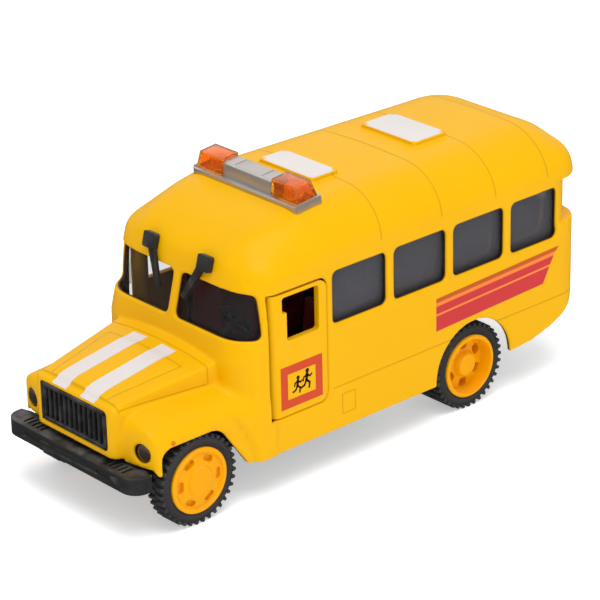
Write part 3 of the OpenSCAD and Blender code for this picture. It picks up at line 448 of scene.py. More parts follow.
def tyre(w, groove, twin):
    """Carcass with a bead and shoulders, and two rings of lugs."""
    tread = tyre_r - lug_sink
    groove_start, groove_end = w / 2 - groove / 2, w / 2 + groove / 2
    profile = [(hub_r, 0), (side_r, 0), (tread, tread_edge)]
    if twin:
        profile += [(tread, groove_start), (tread - groove_depth, groove_start + 0.1),
                    (tread - groove_depth, groove_end - 0.1), (tread, groove_end)]
    profile += [(tread, w - tread_edge), (side_r, w), (rim_r, w), (hub_r + bead_h, w - bead_sink),
                (hub_r, w - bead_sink)]
    pitch = 2 * math.pi / lug_count
    meshes = [turned(profile)]
    stagger = 0.0 if twin else 0.5
    for x0, x1, shift in ((lug_edge, groove_start, 0.0), (groove_end, w - lug_edge, stagger)):
        lug = block(x0, x1, tread - lug_foot, lug_base * pitch * tyre_r, tyre_r, lug_top * pitch * tyre_r)
        lug.transform(Matrix.Rotation(shift * pitch, 4, "X"))
        meshes.append(repeated(lug, lug_count, (0, 0, 0), (pitch, 0, 0), tyre_rubber))
    return meshes


for end, groove, twin in (("front", 0.5, False), ("rear", 1.5, True)):
    corner_low, corner_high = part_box(end + "_left_tyre")
    tyre_w = (corner_high.x - corner_low.x) / mm
    middle = (corner_low + corner_high) / 2
    for side in ("left", "right"):
        inner_x = corner_low.x if side == "left" else -corner_low.x
        mesh = together(tyre(tyre_w, groove, twin), Vector((inner_x, middle.y, middle.z)), side == "right")
        mesh.set_sharp_from_angle(angle=math.radians(40))
        node = end + "_" + side + "_tyre"
        piece(node + "_piece", mesh, tyre_rubber, end + "_wheelset", [node])
        dressed(end + "_" + side + "_hub", hub_plastic, 0.25, 3)


# Cabin: a grey floor tray and dashboard, dark red seats and a black steering wheel, all moulded.
# They are dropped in from below before the chassis plate closes the bus.

floor_plastic = moulded("dark_grey_plastic", (0.045, 0.045, 0.05), 0.5, drift=0.2)
seat_plastic = moulded("dark_red_plastic", (0.34, 0.03, 0.03), 0.45, drift=0.2)
dressed("cabin_floor", floor_plastic, 0.3)
dressed("dashboard", floor_plastic, 0.5)
dressed("cab_seats", seat_plastic, 0.8, 3)
dressed("passenger_seats", seat_plastic, 0.8, 3)
dressed("steering_wheel", black_plastic, 0.12)


# Body shell: one yellow plastic moulding of even wall from a split mould, its edges a little rounded.
# The field gives each point's distance to the skin in millimetres; the shell is meshed from it.

half_w, front_y, rear_y = (v / mm for v in (cad_high.x, cad_low.y, cad_high.y))
front_axle, rear_axle = ([(low + high) / 2 / mm for low, high in zip(*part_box(node))]
                         for node in ("front_axle", "rear_axle"))
front_axle_y, rear_axle_y, axle_z = front_axle[1], rear_axle[1], rear_axle[2]
wall = 2.0
skirt_z, roof_z, crown = 12.9, 83.4, 0.5
cowl_y, cowl_z, lean = front_y + 38.2, 44.0, 6.4
brow_y, brow_h, brow_l, brow_drop, brow_round = cowl_y + lean, 14.4, 39.0, 2.0, 8.6
front_corner, rear_corner, shoulder = 11.0, 11.0, 15.0
tail_shoulder, tail_h, tail_l, tail_round = 19.0, 16.0, 19.0, 11.0
brow_z, tail_z = roof_z - crown - brow_h, roof_z - crown - tail_h


def dome(centre, radii, rows=28, columns=72):
    """Points over an ellipsoid."""
    rise = np.linspace(-np.pi / 2, np.pi / 2, rows)[:, None]
    turn = np.linspace(0, 2 * np.pi, columns, endpoint=False)[None, :]
    unit = np.stack([np.cos(rise) * np.cos(turn), np.cos(rise) * np.sin(turn), np.sin(rise) + 0 * turn], -1)
    return (unit * radii + centre).reshape(-1, 3)


def ring(x, y, z, r, columns=96):
    """Points round a level circle."""
    turn = np.linspace(0, 2 * np.pi, columns, endpoint=False)
    return np.stack([x + r * np.cos(turn), y + r * np.sin(turn), np.full(columns, z)], -1)


def box_points(foot):
    """Points whose hull is the bus's box with its domed roof."""
    points = []
    for side in (-1, 1):
        x = side * (half_w - front_corner)
        points += [ring(x, cowl_y + front_corner, z, front_corner) for z in (foot, cowl_z)]
        points += [dome((x, brow_y + front_corner, brow_z - brow_drop),
                        (front_corner, front_corner, brow_round))]
        x = side * (half_w - rear_corner)
        points += [ring(x, rear_y - rear_corner, z, rear_corner) for z in (foot, tail_z)]
        points += [dome((x, rear_y - rear_corner, tail_z), (rear_corner, rear_corner, tail_round))]
        points += [dome((side * (half_w - shoulder), brow_y + brow_l, brow_z),
                        (shoulder, brow_l, brow_h), 48, 96)]
        points += [dome((side * (half_w - tail_shoulder), rear_y - tail_l, tail_z),
                        (tail_shoulder, tail_l, tail_h), 48, 96)]
    rib = np.linspace(-1, 1, 33)
    for y in (brow_y + brow_l, rear_y - tail_l):
        points += [np.stack([rib * (half_w - tail_shoulder), np.full(len(rib), y),
                             roof_z - crown * rib ** 2], -1)]
    return np.concatenate(points)


def hull_mesh(points):
    """Vertices and triangles of the convex hull."""
    work = bmesh.new()
    for point in points:
        work.verts.new(point)
    bmesh.ops.convex_hull(work, input=work.verts)
    bmesh.ops.delete(work, geom=[v for v in work.verts if not v.link_faces], context="VERTS")
    bmesh.ops.triangulate(work, faces=work.faces)
    work.verts.index_update()
    corners = np.array([v.co for v in work.verts], np.float32)
    triangles = np.array([[v.index for v in f.verts] for f in work.faces], np.uint32)
    work.free()
    return corners, triangles


cell, margin, head_room, grid_foot = 0.5, 3, 4, 8
grid_low = np.floor(np.array([-half_w - margin, front_y - margin, grid_foot]) / cell).astype(int)
grid_high = np.ceil(np.array([half_w + margin, rear_y + margin, roof_z + head_room]) / cell).astype(int)
counts = grid_high - grid_low + 1
grid_x = ((grid_low[0] + np.arange(counts[0])) * cell).astype(np.float32)[:, None, None]
grid_y = ((grid_low[1] + np.arange(counts[1])) * cell).astype(np.float32)[None, :, None]
grid_z = ((grid_low[2] + np.arange(counts[2])) * cell).astype(np.float32)[None, None, :]
side_x = np.abs(grid_x)

box_foot, field_reach = skirt_z - 12, wall + 2.5
corners, triangles = hull_mesh(box_points(box_foot))
box_grid = openvdb.FloatGrid.createLevelSetFromPolygons(
    corners, triangles=triangles, transform=openvdb.createLinearTransform(voxelSize=cell),
    halfWidth=field_reach / cell)
box_field = np.zeros(tuple(counts), np.float32)
box_grid.copyToArray(box_field, ijk=tuple(int(v) for v in grid_low))


def join(a, b, blend):
    """Union of two fields with a fillet of about the blend's size."""
    h = np.clip(0.5 + 0.5 * (b - a) / blend, 0, 1)
    return b * (1 - h) + a * h - blend * h * (1 - h)


def meet(a, b, blend):
    """Intersection of two fields with a rounded edge."""
    return -join(-a, -b, blend)


def plate(u, v, u0, u1, v0, v1, r):
    """Field of a rectangle with round corners."""
    a = np.abs(u - (u0 + u1) / 2) - (u1 - u0) / 2 + r
    b = np.abs(v - (v0 + v1) / 2) - (v1 - v0) / 2 + r
    return np.hypot(np.maximum(a, 0), np.maximum(b, 0)) + np.minimum(np.maximum(a, b), 0) - r


def beyond(u, v, start, end):
    """Distance to the right of the line from start to end."""
    du, dv = end[0] - start[0], end[1] - start[1]
    return ((u - start[0]) * dv - (v - start[1]) * du) / math.hypot(du, dv)


# Band set back round the tail for the rear windows; past is a length that runs clear of the bus
past, edge_round = 40, 0.6
sill_z, window_h = 47.6, 16.8
window_y, window_end, window_post, window_n = -16.85, 78.05, 3.2, 4
band_z, band_top, band_y, band_start = sill_z + 4.3, tail_z - 0.9, rear_y - 4.5, window_end - 6
band = np.maximum(plate(grid_y, grid_z, band_start, rear_y + past, band_z, band_top, edge_round),
                  -plate(grid_x, grid_y, -half_w, half_w, cowl_y, band_y, rear_corner))
skin = meet(box_field, -band, 0.8)

# Fenders: a block across the nose, rolled at the front, with tops that fall outward from the bonnet
nose_y, nose_w, nose_z, nose_round = front_y + 2.5, 38.0, 23.0, 3.6
bonnet_w, bonnet_front_w, bonnet_z, bonnet_front_z = 44.0, 34.8, 45.2, 40.3
bonnet_y, bonnet_end, bonnet_fall, bonnet_front_fall = nose_y + 2.6, cowl_y - 3.4, 1.8, 1.0
door_y, door_end, door_z, door_top = -41.25, -19.15, 24.1, 63.8
along = np.clip((grid_y - bonnet_y) / (bonnet_end - bonnet_y), -0.2, 1.2)
bonnet_half = (bonnet_front_w + (bonnet_w - bonnet_front_w) * along) / 2
fender_z, fender_fall, fender_roll, fender_edge = bonnet_z - 7.6, 0.42, 9.0, 6.5
fender_front, fender_corner, corner_in, nose_side = nose_y + 2.8, 2.8, 2.6, nose_w / 2 + 1
fender_foot, fender_end, roll_top = -60, door_y + 30, fender_z + 0.4
fender_top = grid_z - fender_z + fender_fall * np.maximum(side_x - bonnet_half, 0)
fender = plate(side_x + 0 * grid_z, fender_top, -half_w, half_w, fender_foot, 0, fender_edge)
nose_line = beyond(grid_y, side_x, (fender_front + fender_corner, half_w - corner_in),
                   (fender_front, nose_side))
corner_cut = meet(nose_line, side_x - half_w, 6)
roll = plate(grid_y, grid_z, fender_front, fender_end, fender_foot, roll_top, fender_roll)
fender = meet(meet(fender, corner_cut, 1.0), roll, 3.0)
fender = np.maximum(fender, grid_y - door_y)
skin = join(skin, fender, 2.4)

# The fender sides are set in, up to an arc ahead of the door with a slanting flank
fender_inset, flare_r, flare_y, flare_z, flank = 1.6, 27.2, front_axle_y - 7.3, 11.4, 0.7
flare = np.hypot(grid_y - flare_y, grid_z - flare_z) - flare_r
inset = half_w - fender_inset - side_x
skin = meet(skin, -np.maximum((flare + inset) * flank, inset), 1.0)

# Nose block behind the grille, and the bonnet with its raised field
nose_top, nose_end, bonnet_lap = bonnet_front_z - 1, cowl_y + 20, cowl_y + 3
nose = np.maximum(plate(grid_x, grid_y, -nose_w / 2, nose_w / 2, nose_y, nose_end, 4),
                  plate(grid_x, grid_z, -nose_w / 2, nose_w / 2, -past, nose_top, nose_round))
nose = meet(nose, plate(grid_y, grid_z, nose_y, nose_end, -past, nose_top, 2.4), 1.5)
nose = np.maximum(nose, grid_y - bonnet_lap)
skin = join(skin, nose, 1.2)
bonnet_top = bonnet_front_z + (bonnet_z - bonnet_front_z) * along
fall = bonnet_front_fall + (bonnet_fall - bonnet_front_fall) * along
bonnet_top = bonnet_top - fall * (side_x / bonnet_half) ** 2
field_margin, field_y, field_end, field_h, field_slope = 4.6, bonnet_y + 2, cowl_y - 8.2, 0.35, 0.8
field_ends = np.maximum(field_y - grid_y, grid_y - field_end)
raised = np.clip(0.5 - np.maximum(side_x - bonnet_half + field_margin, field_ends) / field_slope, 0, 1)
bonnet = meet(side_x - bonnet_half + 0 * grid_z, grid_z - bonnet_top - field_h * raised, 1.0)
bonnet = meet(bonnet, bonnet_y - grid_y, 1.0)
bonnet = np.maximum(bonnet, grid_y - bonnet_lap)
skin = join(skin, bonnet, 0.7)

# Even wall, open underneath, with an apron at the nose and a skirt that sweeps up at the tail
shell = np.maximum(skin, -skin - wall)
tip_z, apron_z, tip_w, apron_end = 17.2, 22.1, 4, front_axle_y - 6
apron = np.interp(side_x, [0, nose_w / 2, nose_w / 2 + 0.5, half_w - tip_w, half_w],
                  [nose_z, nose_z, apron_z, apron_z, tip_z])
low_edge = np.where(grid_y < apron_end, apron, skirt_z)
sweep_y = [rear_axle_y + 12, rear_axle_y + 12.2] + [rear_y - back for back in (24, 15, 10.5, 6, 2, -3)]
sweep_z = [skirt_z + rise for rise in (0, 1.2, 2.3, 4.7, 6.7, 9.5, 13, 18)]
low_edge = np.maximum(low_edge, np.interp(grid_y, sweep_y, sweep_z))
shell = meet(shell, (low_edge - grid_z).astype(np.float32), 0.5)

# Roof hatches and the lugs that hold the door pins
hatch_w, hatch_h, hatch_round = 24.0, 1.1, 0.8
hatches = {"front": (rear_axle_y - 47.6, 10.7), "rear": (rear_axle_y - 5.6, 14.1)}
for start, length in hatches.values():
    pad = np.maximum(plate(grid_x, grid_y, -hatch_w / 2, hatch_w / 2, start, start + length, hatch_round),
                     np.abs(grid_z - roof_z) - hatch_h)
    shell = join(shell, pad, 0.35)
hinge_x, hinge_y, lug_r, lug_h, door_gap = 30.4, -38.25, 2.3, 2.2, 0.4
for z in (door_top + door_gap, door_z - door_gap - lug_h):
    lug = np.maximum(np.hypot(side_x - hinge_x, grid_y - hinge_y) - lug_r,
                     np.abs(grid_z - z - lug_h / 2) - lug_h / 2)
    shell = np.minimum(shell, np.maximum(lug, box_field))

# Side windows, the last one shorter, and the doors with a wider gap at the hinge
through, window_round, last_short = half_w - 9 - side_x, 2, 1.4
window_w = (window_end + last_short - window_y - (window_n - 1) * window_post) / window_n
for i in range(window_n):
    start = window_y + i * (window_w + window_post)
    stop = window_end if i == window_n - 1 else start + window_w
    opening = plate(grid_y, grid_z, start, stop, sill_z, sill_z + window_h, window_round)
    shell = meet(shell, -np.maximum(opening, through), edge_round)
door_round, hinge_gap = 2.8, 0.5
door_hole = plate(grid_y, grid_z, door_y - 8, door_end, door_z, door_top, door_round)
door_hole = np.maximum(door_hole, door_y - hinge_gap - grid_y)
shell = meet(shell, -np.maximum(door_hole, through), 0.5)

# Windscreen in two panes round the corners, and two rear windows
screen_z, screen_h, centre_post, corner_post = 51.0, 13.5, 3.2, 2.4
screen_top, screen_end = screen_z + screen_h, door_y - corner_post
screen = np.maximum(plate(grid_y, grid_z, cowl_y - 20, screen_end, screen_z, screen_top, 1.8),
                    plate(side_x, grid_z, centre_post / 2, half_w + 20, screen_z, screen_top, window_round))
shell = meet(shell, -screen, edge_round)
rear_window_end, rear_window_z, rear_window_top = half_w - 12, band_z + 2.5, band_top - 3
rear_window_y = rear_y - 11.65
rear_hole = plate(side_x, grid_z, centre_post / 2, rear_window_end, rear_window_z, rear_window_top,
                  window_round)
shell = meet(shell, -np.maximum(rear_hole, rear_window_y - grid_y), edge_round)

# Arches: the front one straight with a slanting rear edge, the rear one round
arch_top, arch_front, arch_depth = axle_z + 14, front_axle_y - 13.4, half_w - 6 - side_x
arch_foot, arch_bend = (front_axle_y + 18.6, skirt_z), (front_axle_y + 8.6, arch_top - 0.9)
arch = meet(beyond(grid_y, grid_z, arch_foot, arch_bend), grid_z - arch_top, 3.0)
arch = meet(arch, arch_front - grid_y, 4.0)
shell = meet(shell, -np.maximum(arch, arch_depth), edge_round)
arch_r, rear_arch_depth = 16.1, half_w - 4 - side_x
rear_arch = np.maximum(np.hypot(grid_y - rear_axle_y, grid_z - axle_z) - arch_r, rear_arch_depth)
shell = meet(shell, -rear_arch, edge_round)

# Grille and headlight openings
grille_w, grille_z, grille_h, grille_round = 30.4, 25.0, 12.4, 1.4
grille_top, grille_depth = grille_z + grille_h, nose_y + 4
grille_hole = plate(grid_x, grid_z, -grille_w / 2, grille_w / 2, grille_z, grille_top, grille_round)
shell = meet(shell, -np.maximum(grille_hole, grid_y - grille_depth), 0.5)
light_x, light_z, light_r, light_depth = 25.5, 26.6, 2.9, front_y + 14
light_hole = np.maximum(np.hypot(side_x - light_x, grid_z - light_z) - light_r, grid_y - light_depth)
shell = meet(shell, -light_hole, 0.8)


def meshed(name, field, adaptivity):
    """Mesh of a field's zero surface, in metres, faces outward."""
    grid = openvdb.FloatGrid(3.0)
    grid.transform = openvdb.createLinearTransform(voxelSize=cell)
    grid.copyFromArray(np.clip(field, -3.0, 3.0).astype(np.float32), ijk=tuple(int(v) for v in grid_low))
    points, triangles, quads = grid.convertToPolygons(0.0, adaptivity)
    mesh = bpy.data.meshes.new(name)
    mesh.from_pydata((points * mm).tolist(), [], triangles.tolist() + quads.tolist())
    work = bmesh.new()
    work.from_mesh(mesh)
    if work.calc_volume(signed=True) < 0:
        bmesh.ops.reverse_faces(work, faces=work.faces)
    work.to_mesh(mesh)
    work.free()
    mesh.polygons.foreach_set("use_smooth", np.ones(len(mesh.polygons), bool))
    return mesh


shell_mesh = meshed("body_shell_piece", shell, 0.02)

# Each point's depth below the skin, read from the field between its eight neighbours; the shell's material
# darkens the deeper points with painted shade.
spot = np.zeros(len(shell_mesh.vertices) * 3, np.float32)
shell_mesh.vertices.foreach_get("co", spot)
spot = np.clip(spot.reshape(-1, 3) / mm / cell - grid_low, 0, counts - 1.01)
base, fraction = spot.astype(int), spot - spot.astype(int)
deep = np.zeros(len(base), np.float32)
for i, j, k in np.ndindex(2, 2, 2):
    share = np.prod(np.where(np.array([i, j, k]), fraction, 1 - fraction), axis=1)
    deep -= share * skin[base[:, 0] + i, base[:, 1] + j, base[:, 2] + k]
depth = shell_mesh.attributes.new("depth", "FLOAT", "POINT")
depth.data.foreach_set("value", deep)

roof_lines, roof_line_w, line_w, flap_line_w = (2.85, 27.85, 50.85, 73.85), 0.45, 0.4, 0.35
belt_z, flap_y, flap_z, flap_w, flap_h = 27.05, -11.05, 20.8, 5.2, 6.4
shut_z, field_front = 37.9, bonnet_front_w / 2 - field_margin
field_taper = (bonnet_w - bonnet_front_w) / 2 / (bonnet_end - bonnet_y)
# Depths below the skin at which the painted shade of the interior starts and is full
shade_start_depth, shade_full_depth = 0.45, 1.0


def number(tree, operation, *values):
    """Output of a math node on the values."""
    return add(tree, "ShaderNodeMath", {"operation": operation}, dict(enumerate(values))).outputs[0]


def near(tree, value, width):
    """Mask that is one where the value is zero and fades out at the width, in millimetres."""
    return add(tree, "ShaderNodeMapRange", {"interpolation_type": "SMOOTHSTEP"}, {
        "Value": number(tree, "ABSOLUTE", value), "From Min": 0.0, "From Max": width * mm,
        "To Min": 1.0, "To Max": 0.0}).outputs[0]


def shell_lines(tree, place):
    """Masks of the lines on roof, belt, fuel flap and bonnet, and of the painted shade on the shell's
    interior and the walls of its openings.
    """
    parts = add(tree, "ShaderNodeSeparateXYZ", inputs={0: place}).outputs
    x, y, z = number(tree, "ABSOLUTE", parts["X"]), parts["Y"], parts["Z"]

    def line(value, at, width=line_w):
        return near(tree, number(tree, "SUBTRACT", value, at * mm), width)

    def over(value, limit):
        return number(tree, "GREATER_THAN", value, limit * mm)

    def under(value, limit):
        return number(tree, "LESS_THAN", value, limit * mm)

    def outside(value, middle, size):
        offset = number(tree, "ABSOLUTE", number(tree, "SUBTRACT", value, middle * mm))
        return number(tree, "SUBTRACT", offset, size / 2 * mm)

    def chain(operation, first, *others):
        for other in others:
            first = number(tree, operation, first, other)
        return first

    roof = chain("MAXIMUM", *[line(y, at, roof_line_w) for at in roof_lines])
    flap = number(tree, "MAXIMUM", outside(y, flap_y, flap_w), outside(z, flap_z, flap_h))
    ahead = under(y, bonnet_end)
    field_side = number(tree, "MULTIPLY_ADD", y, field_taper, (field_front - bonnet_y * field_taper) * mm)
    field = number(tree, "MAXIMUM", number(tree, "SUBTRACT", x, field_side),
                   number(tree, "SUBTRACT", y, field_end * mm))
    mask = chain(
        "MAXIMUM",
        chain("MULTIPLY", roof, over(z, tail_z + 2)),
        chain("MULTIPLY", line(z, belt_z), over(y, door_end + 2)),
        near(tree, flap, flap_line_w),
        chain("MULTIPLY", line(z, shut_z), under(x, bonnet_w / 2 + 2), ahead, over(y, bonnet_y)),
        chain("MULTIPLY", line(y, bonnet_end + 0.5), under(x, bonnet_w / 2 + 0.5), over(z, shut_z)),
        chain("MULTIPLY", near(tree, field, line_w), over(z, shut_z + 1.6), ahead),
        chain("MULTIPLY", line(y, bonnet_y + 0.2), over(z, shut_z - 0.6)))
    # Painted shade mask from the depth below the skin: the walls of the openings and the interior are
    # darkened.
    sunk = add(tree, "ShaderNodeAttribute", {"attribute_name": "depth"})
    inside_shade = add(tree, "ShaderNodeMapRange", {"interpolation_type": "SMOOTHSTEP"}, {
        "Value": sunk.outputs["Fac"], "From Min": shade_start_depth, "From Max": shade_full_depth}).outputs[0]
    return mask, inside_shade


yellow = (0.84, 0.44, 0.0)
smooth = {"fineness": 700.0, "drift": 0.06, "relief": 0.012, "worn": 0.04, "dusty": 0.006,
          "sockets": low_sheen}
yellow_shell = moulded("yellow_shell", yellow, 0.36, lines=shell_lines, **smooth)
piece("body_shell_piece", shell_mesh, yellow_shell, "bus_body", ["body_shell"])


# Glazing: smoked clear strips for the sides and the tail, and one clear screen for both front panes.
# They are thin polystyrene mouldings, welded behind their openings.

glassy = {"relief": 0.004, "worn": 0.0, "dusty": 0.02}
smoked = moulded("smoked_clear", (0.11, 0.11, 0.125), 0.12, sockets={"Alpha": 0.6, "IOR": 1.49}, **glassy)
clear = moulded("screen_clear", (0.03, 0.032, 0.035), 0.1, sockets={"Alpha": 0.28, "IOR": 1.49}, **glassy)
for node in ("left_side_glazing", "right_side_glazing", "rear_glazing"):
    dressed(node, smoked, 0.2)
dressed("windscreen", clear, 0.1)


# Cab doors: flat yellow mouldings with a rounded hinge edge, of the same plastic as the shell.
# A pin at each end of the hinge edge turns in the shell's lugs.

yellow_door = moulded("yellow_door", yellow, 0.36, **smooth)
for node in ("left_door", "right_door"):
    dressed(node, yellow_door, 0.35, 3)


# Front and tail fittings: a slatted grille, a black bumper, and wipers plugged into the brow, all black
# mouldings, with dark headlights and red tail lamps of glossy plastic pressed into their holes.

glossy = {"relief": 0.01, "sockets": {"Coat Weight": 0.5}}
dark_lamp = moulded("dark_lamp", (0.035, 0.02, 0.015), 0.2, **glossy)
red_lamp = moulded("red_lamp", (0.5, 0.01, 0.012), 0.2, **glossy)
grille_face, slat_count, rim_w = nose_y + 0.5, 13, 1.3
slat_w, slat_depth, slat_end, slat_play, rim_play = 1.0, 1.6, 0.8, 0.4, 0.1
grille_low, grille_high = (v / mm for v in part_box("radiator_grille"))


def bar(x0, x1, y0, y1, z0, z1, soft):
    """Rounded bar between two corners."""
    mesh = bpy.data.meshes.new("bar")
    points = [(x * mm, y * mm, z * mm) for z in (z0, z1) for y in (y0, y1) for x in (x0, x1)]
    mesh.from_pydata(points, [], [(0, 2, 3, 1), (4, 5, 7, 6), (0, 1, 5, 4), (2, 6, 7, 3),
                                  (0, 4, 6, 2), (1, 3, 7, 5)])
    return softened(mesh, soft, 3)


slat_pitch = (grille_w - 2 * rim_w - slat_play) / (slat_count - 1)
slat = bar(-slat_w / 2, slat_w / 2, 0, slat_depth, grille_z + slat_end, grille_top - slat_end, 0.35)
slats = repeated(slat, slat_count, (slat_pitch * mm, 0, 0), (0, 0, 0), black_plastic)
slats.transform(Matrix.Translation((-(slat_count - 1) / 2 * slat_pitch * mm, grille_face * mm, 0)))
left_x, right_x = -grille_w / 2 + rim_play, grille_w / 2 - rim_play
foot_z, head_z = grille_z + rim_play, grille_top - rim_play
rim_y, rim_back, plate_y = grille_face - 0.3, grille_face + 2.4, grille_face + 1.4
grille_parts = [slats]
for x0, x1, z0, z1 in ((left_x, left_x + rim_w, foot_z, head_z), (right_x - rim_w, right_x, foot_z, head_z),
                       (left_x, right_x, foot_z, foot_z + rim_w), (left_x, right_x, head_z - rim_w, head_z)):
    grille_parts.append(bar(x0, x1, rim_y, rim_back, z0, z1, 0.4))
grille_parts.append(
    bar(grille_low.x, grille_high.x, plate_y, grille_high.y, grille_low.z, grille_high.z, 0.3))
piece("radiator_grille_piece", together(grille_parts, Vector()), black_plastic, "bus_body",
      ["radiator_grille"])
dressed("front_bumper", black_plastic, 0.35)
for node in ("left_headlight", "right_headlight"):
    dressed(node, dark_lamp, 0.2)
for node in ("left_tail_lamp", "right_tail_lamp"):
    dressed(node, red_lamp, 0.3)
for node in ("left_wiper", "right_wiper"):
    dressed(node, black_plastic, 0.2)


# Light bar: silver base and centre block, with an amber clear lens over a pale ribbed beacon at each end.
# All are moulded; the base sits on the roof curve with two pegs, and the rest clips on it.

silver = moulded("silver_plastic", (0.46, 0.43, 0.41), 0.34, fineness=2500.0, sockets={"Metallic": 0.7})
amber = moulded("amber_clear", (1.0, 0.35, 0.02), 0.08, relief=0.008, worn=0.0, dusty=0.0,
                sockets={"Transmission Weight": 0.9, "IOR": 1.45})
white_plastic = moulded("white_plastic", (0.75, 0.72, 0.66), 0.4)
dressed("light_bar_base", silver, 0.2)
dressed("light_bar_centre", silver, 0.1)
for side in ("left", "right"):
    dressed(side + "_beacon_lens", amber, 0.3, 3)
    dressed(side + "_beacon", white_plastic, 0.12)


# Prints: thin coats of ink on the shell and doors, as printed or foiled after moulding.
# White on the bonnet and hatches, red and orange stripes along the sides, a sign on each door,
# and a small marker on each fender.

ink, over_skin = 0.04, 2.5
sides = ((1, "left"), (-1, "right"))


def printed(name, look, body, shapes, place):
    """Thin plates from outlines; place gives the lower and upper point of each outline point."""
    work = bmesh.new()
    for outline in shapes:
        rows = [[work.verts.new([c * mm for c in place(u, v, lift)]) for u, v in outline]
                for lift in (-ink, ink)]
        work.faces.new(rows[1])
        work.faces.new(rows[0][::-1])
        for i in range(len(outline)):
            j = (i + 1) % len(outline)
            work.faces.new((rows[0][i], rows[0][j], rows[1][j], rows[1][i]))
    bmesh.ops.recalc_face_normals(work, faces=work.faces)
    bmesh.ops.triangulate(work, faces=[f for f in work.faces if len(f.verts) > 4])
    mesh = bpy.data.meshes.new(name)
    work.to_mesh(mesh)
    work.free()
    piece(name, mesh, look, body)


def flat_side(side):
    """Place for a print on the flat side of the shell or a door."""
    return lambda u, v, lift: (side * (half_w + lift), u, v)


def ink_look(name, colour):
    """Look of one ink."""
    return moulded(name, colour, 0.38, fineness=1500.0, drift=0.12, relief=0.01, worn=0.0, dusty=0.02)


red_ink = ink_look("red_ink", (0.62, 0.032, 0.035))
orange_ink = ink_look("orange_ink", (0.56, 0.1, 0.004))
light_ink = ink_look("light_ink", (0.9, 0.23, 0.03))
white_ink = ink_look("white_ink", (0.71, 0.66, 0.64))
black_ink = ink_look("black_ink", (0.03, 0.012, 0.008))
sign_red = ink_look("sign_red", (0.64, 0.06, 0.01))
marker_ink = ink_look("marker_ink", (0.72, 0.17, 0.015))

# Each stripe's ink, lower and upper height at its start, and where its top and foot end
stripe_start, stripe_rise = 25.3, 0.032
stripe_rows = (("red_stripe", red_ink, 31.9, 36.9, 75.0, 72.2),
               ("thin_stripe", light_ink, 36.9, 37.6, 75.4, 75.0),
               ("mid_stripe", red_ink, 37.6, 40.1, 76.8, 75.4),
               ("pale_stripe", light_ink, 40.1, 41.3, 77.6, 76.8),
               ("top_stripe", orange_ink, 41.3, 42.7, 79.2, 77.8))
for side, label in sides:
    for name, look, low_z, high_z, top_end, low_end in stripe_rows:
        lift_low, lift_high = stripe_rise * (low_end - stripe_start), stripe_rise * (top_end - stripe_start)
        outline = [(stripe_start, low_z), (low_end, low_z + lift_low), (top_end, high_z + lift_high),
                   (stripe_start, high_z)]
        printed(label + "_" + name, look, "bus_body", [outline], flat_side(side))

sign_y, sign_end, sign_z, sign_top, sign_edge = -37.9, -21.6, 26.6, 40.2, 2.7


def stroke(points, width):
    """Outlines of a thick line through the points, one plate for each length."""
    plates = []
    for (a, b), (c, d) in zip(points, points[1:]):
        length = math.hypot(c - a, d - b)
        nu, nv = -(d - b) / length * width / 2, (c - a) / length * width / 2
        eu, ev = (c - a) / length * width / 3, (d - b) / length * width / 3
        plates.append([(a - eu + nu, b - ev + nv), (a - eu - nu, b - ev - nv),
                       (c + eu - nu, d + ev - nv), (c + eu + nu, d + ev + nv)])
    return plates


def disc(u, v, r, n=16):
    """Outline of a disc."""
    return [(u + r * math.cos(k * 2 * math.pi / n), v + r * math.sin(k * 2 * math.pi / n)) for k in range(n)]


def walker(u, v, size):
    """Plain walking figure: head, body, two arms and two legs."""
    shapes = [disc(u + 0.1 * size, v + 2.6 * size, 0.62 * size)]
    for width, points in ((0.9, ((0, 1.7), (-0.2, -0.1))),
                          (0.5, ((0, 1.5), (1.0, 0.8), (1.6, 1.3))),
                          (0.5, ((0, 1.5), (-1.1, 1.0), (-1.3, 0.1))),
                          (0.6, ((-0.2, 0), (0.9, -0.9), (0.7, -2.3))),
                          (0.6, ((-0.2, 0), (-0.9, -1.2), (-1.9, -1.6)))):
        shapes += stroke([(u + a * size, v + b * size) for a, b in points], width * size)
    return shapes


outer = [(sign_y, sign_z), (sign_end, sign_z), (sign_end, sign_top), (sign_y, sign_top)]
inner = [(sign_y + sign_edge, sign_z + sign_edge), (sign_end - sign_edge, sign_z + sign_edge),
         (sign_end - sign_edge, sign_top - sign_edge), (sign_y + sign_edge, sign_top - sign_edge)]
sign_frame = [[outer[i], outer[(i + 1) % 4], inner[(i + 1) % 4], inner[i]] for i in range(4)]
figures = walker(sign_y + 6.6, sign_z + 6.2, 1.0) + walker(sign_y + 10.2, sign_z + 6.9, 1.15)
for side, label in sides:
    door = label + "_door_set"
    printed(label + "_sign_frame", sign_red, door, sign_frame, flat_side(side))
    printed(label + "_sign_figures", black_ink, door, figures, flat_side(side))

shell_tree = BVHTree.FromPolygons([v.co for v in shell_mesh.vertices],
                                  [p.vertices for p in shell_mesh.polygons])


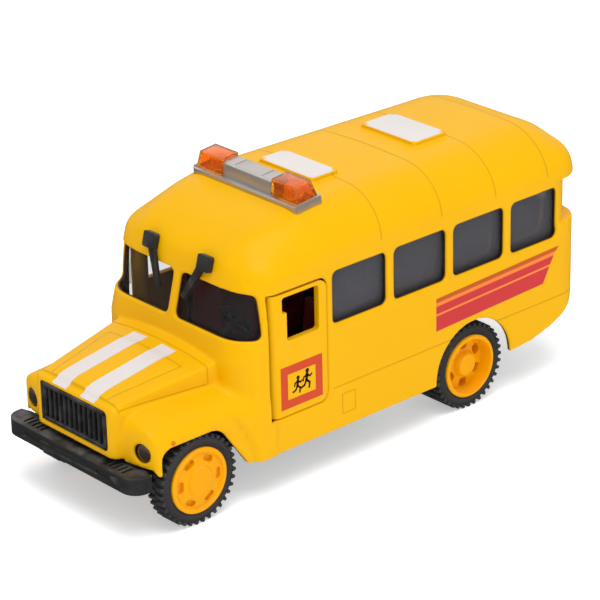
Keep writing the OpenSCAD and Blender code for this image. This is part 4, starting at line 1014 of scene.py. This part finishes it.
def drape(name, look, x0, x1, y0, y1, columns, rows):
    """Thin coat laid on the shell from above, a little over it."""
    work = bmesh.new()
    over, under = {}, {}
    for j in range(rows + 1):
        for i in range(columns + 1):
            x, y = x0 + (x1 - x0) * i / columns, y0 + (y1 - y0) * j / rows
            spot, way = shell_tree.ray_cast(Vector((x, y, roof_z + 20)) * mm, Vector((0, 0, -1)))[:2]
            way = way if way.z > 0 else -way
            over[i, j] = work.verts.new(spot + way * over_skin * ink * mm)
            under[i, j] = work.verts.new(spot - way * ink * mm)
    for j in range(rows):
        for i in range(columns):
            ring_of = ((i, j), (i + 1, j), (i + 1, j + 1), (i, j + 1))
            work.faces.new([over[k] for k in ring_of])
            work.faces.new([under[k] for k in ring_of[::-1]])
    rim = [(i, 0) for i in range(columns)] + [(columns, j) for j in range(rows)]
    rim += [(i, rows) for i in range(columns, 0, -1)] + [(0, j) for j in range(rows, 0, -1)]
    for k, here in enumerate(rim):
        after = rim[(k + 1) % len(rim)]
        work.faces.new((under[here], under[after], over[after], over[here]))
    mesh = bpy.data.meshes.new(name)
    work.to_mesh(mesh)
    work.free()
    mesh.polygons.foreach_set("use_smooth", np.ones(len(mesh.polygons), bool))
    mesh.set_sharp_from_angle(angle=math.radians(40))
    piece(name, mesh, look, "bus_body")


def shell_side(side):
    """Place for a print on the shell's curved side, a little over it."""
    def place(u, v, lift):
        spot = shell_tree.ray_cast(Vector((side * (half_w + 20), u, v)) * mm, Vector((-side, 0, 0)))[0]
        return (spot.x / mm + side * over_skin * lift, u, v)
    return place


bonnet_stripe, stripe_y, stripe_end = (3.3, 9.7), nose_y + 0.7, bonnet_end - 0.9
for side, label in sides:
    ends = sorted(side * v for v in bonnet_stripe)
    drape(label + "_bonnet_stripe", white_ink, ends[0], ends[1], stripe_y, stripe_end, 6, 66)
hatch_rim = 0.3
for label, (start, length) in hatches.items():
    drape(label + "_hatch_top", white_ink, -hatch_w / 2 + hatch_rim, hatch_w / 2 - hatch_rim,
          start + hatch_rim, start + length - hatch_rim, 12, 8)
marker = disc(front_axle_y - 9.4, 29.4, 0.8)
for side, label in sides:
    printed(label + "_marker", marker_ink, "bus_body", [marker], shell_side(side))
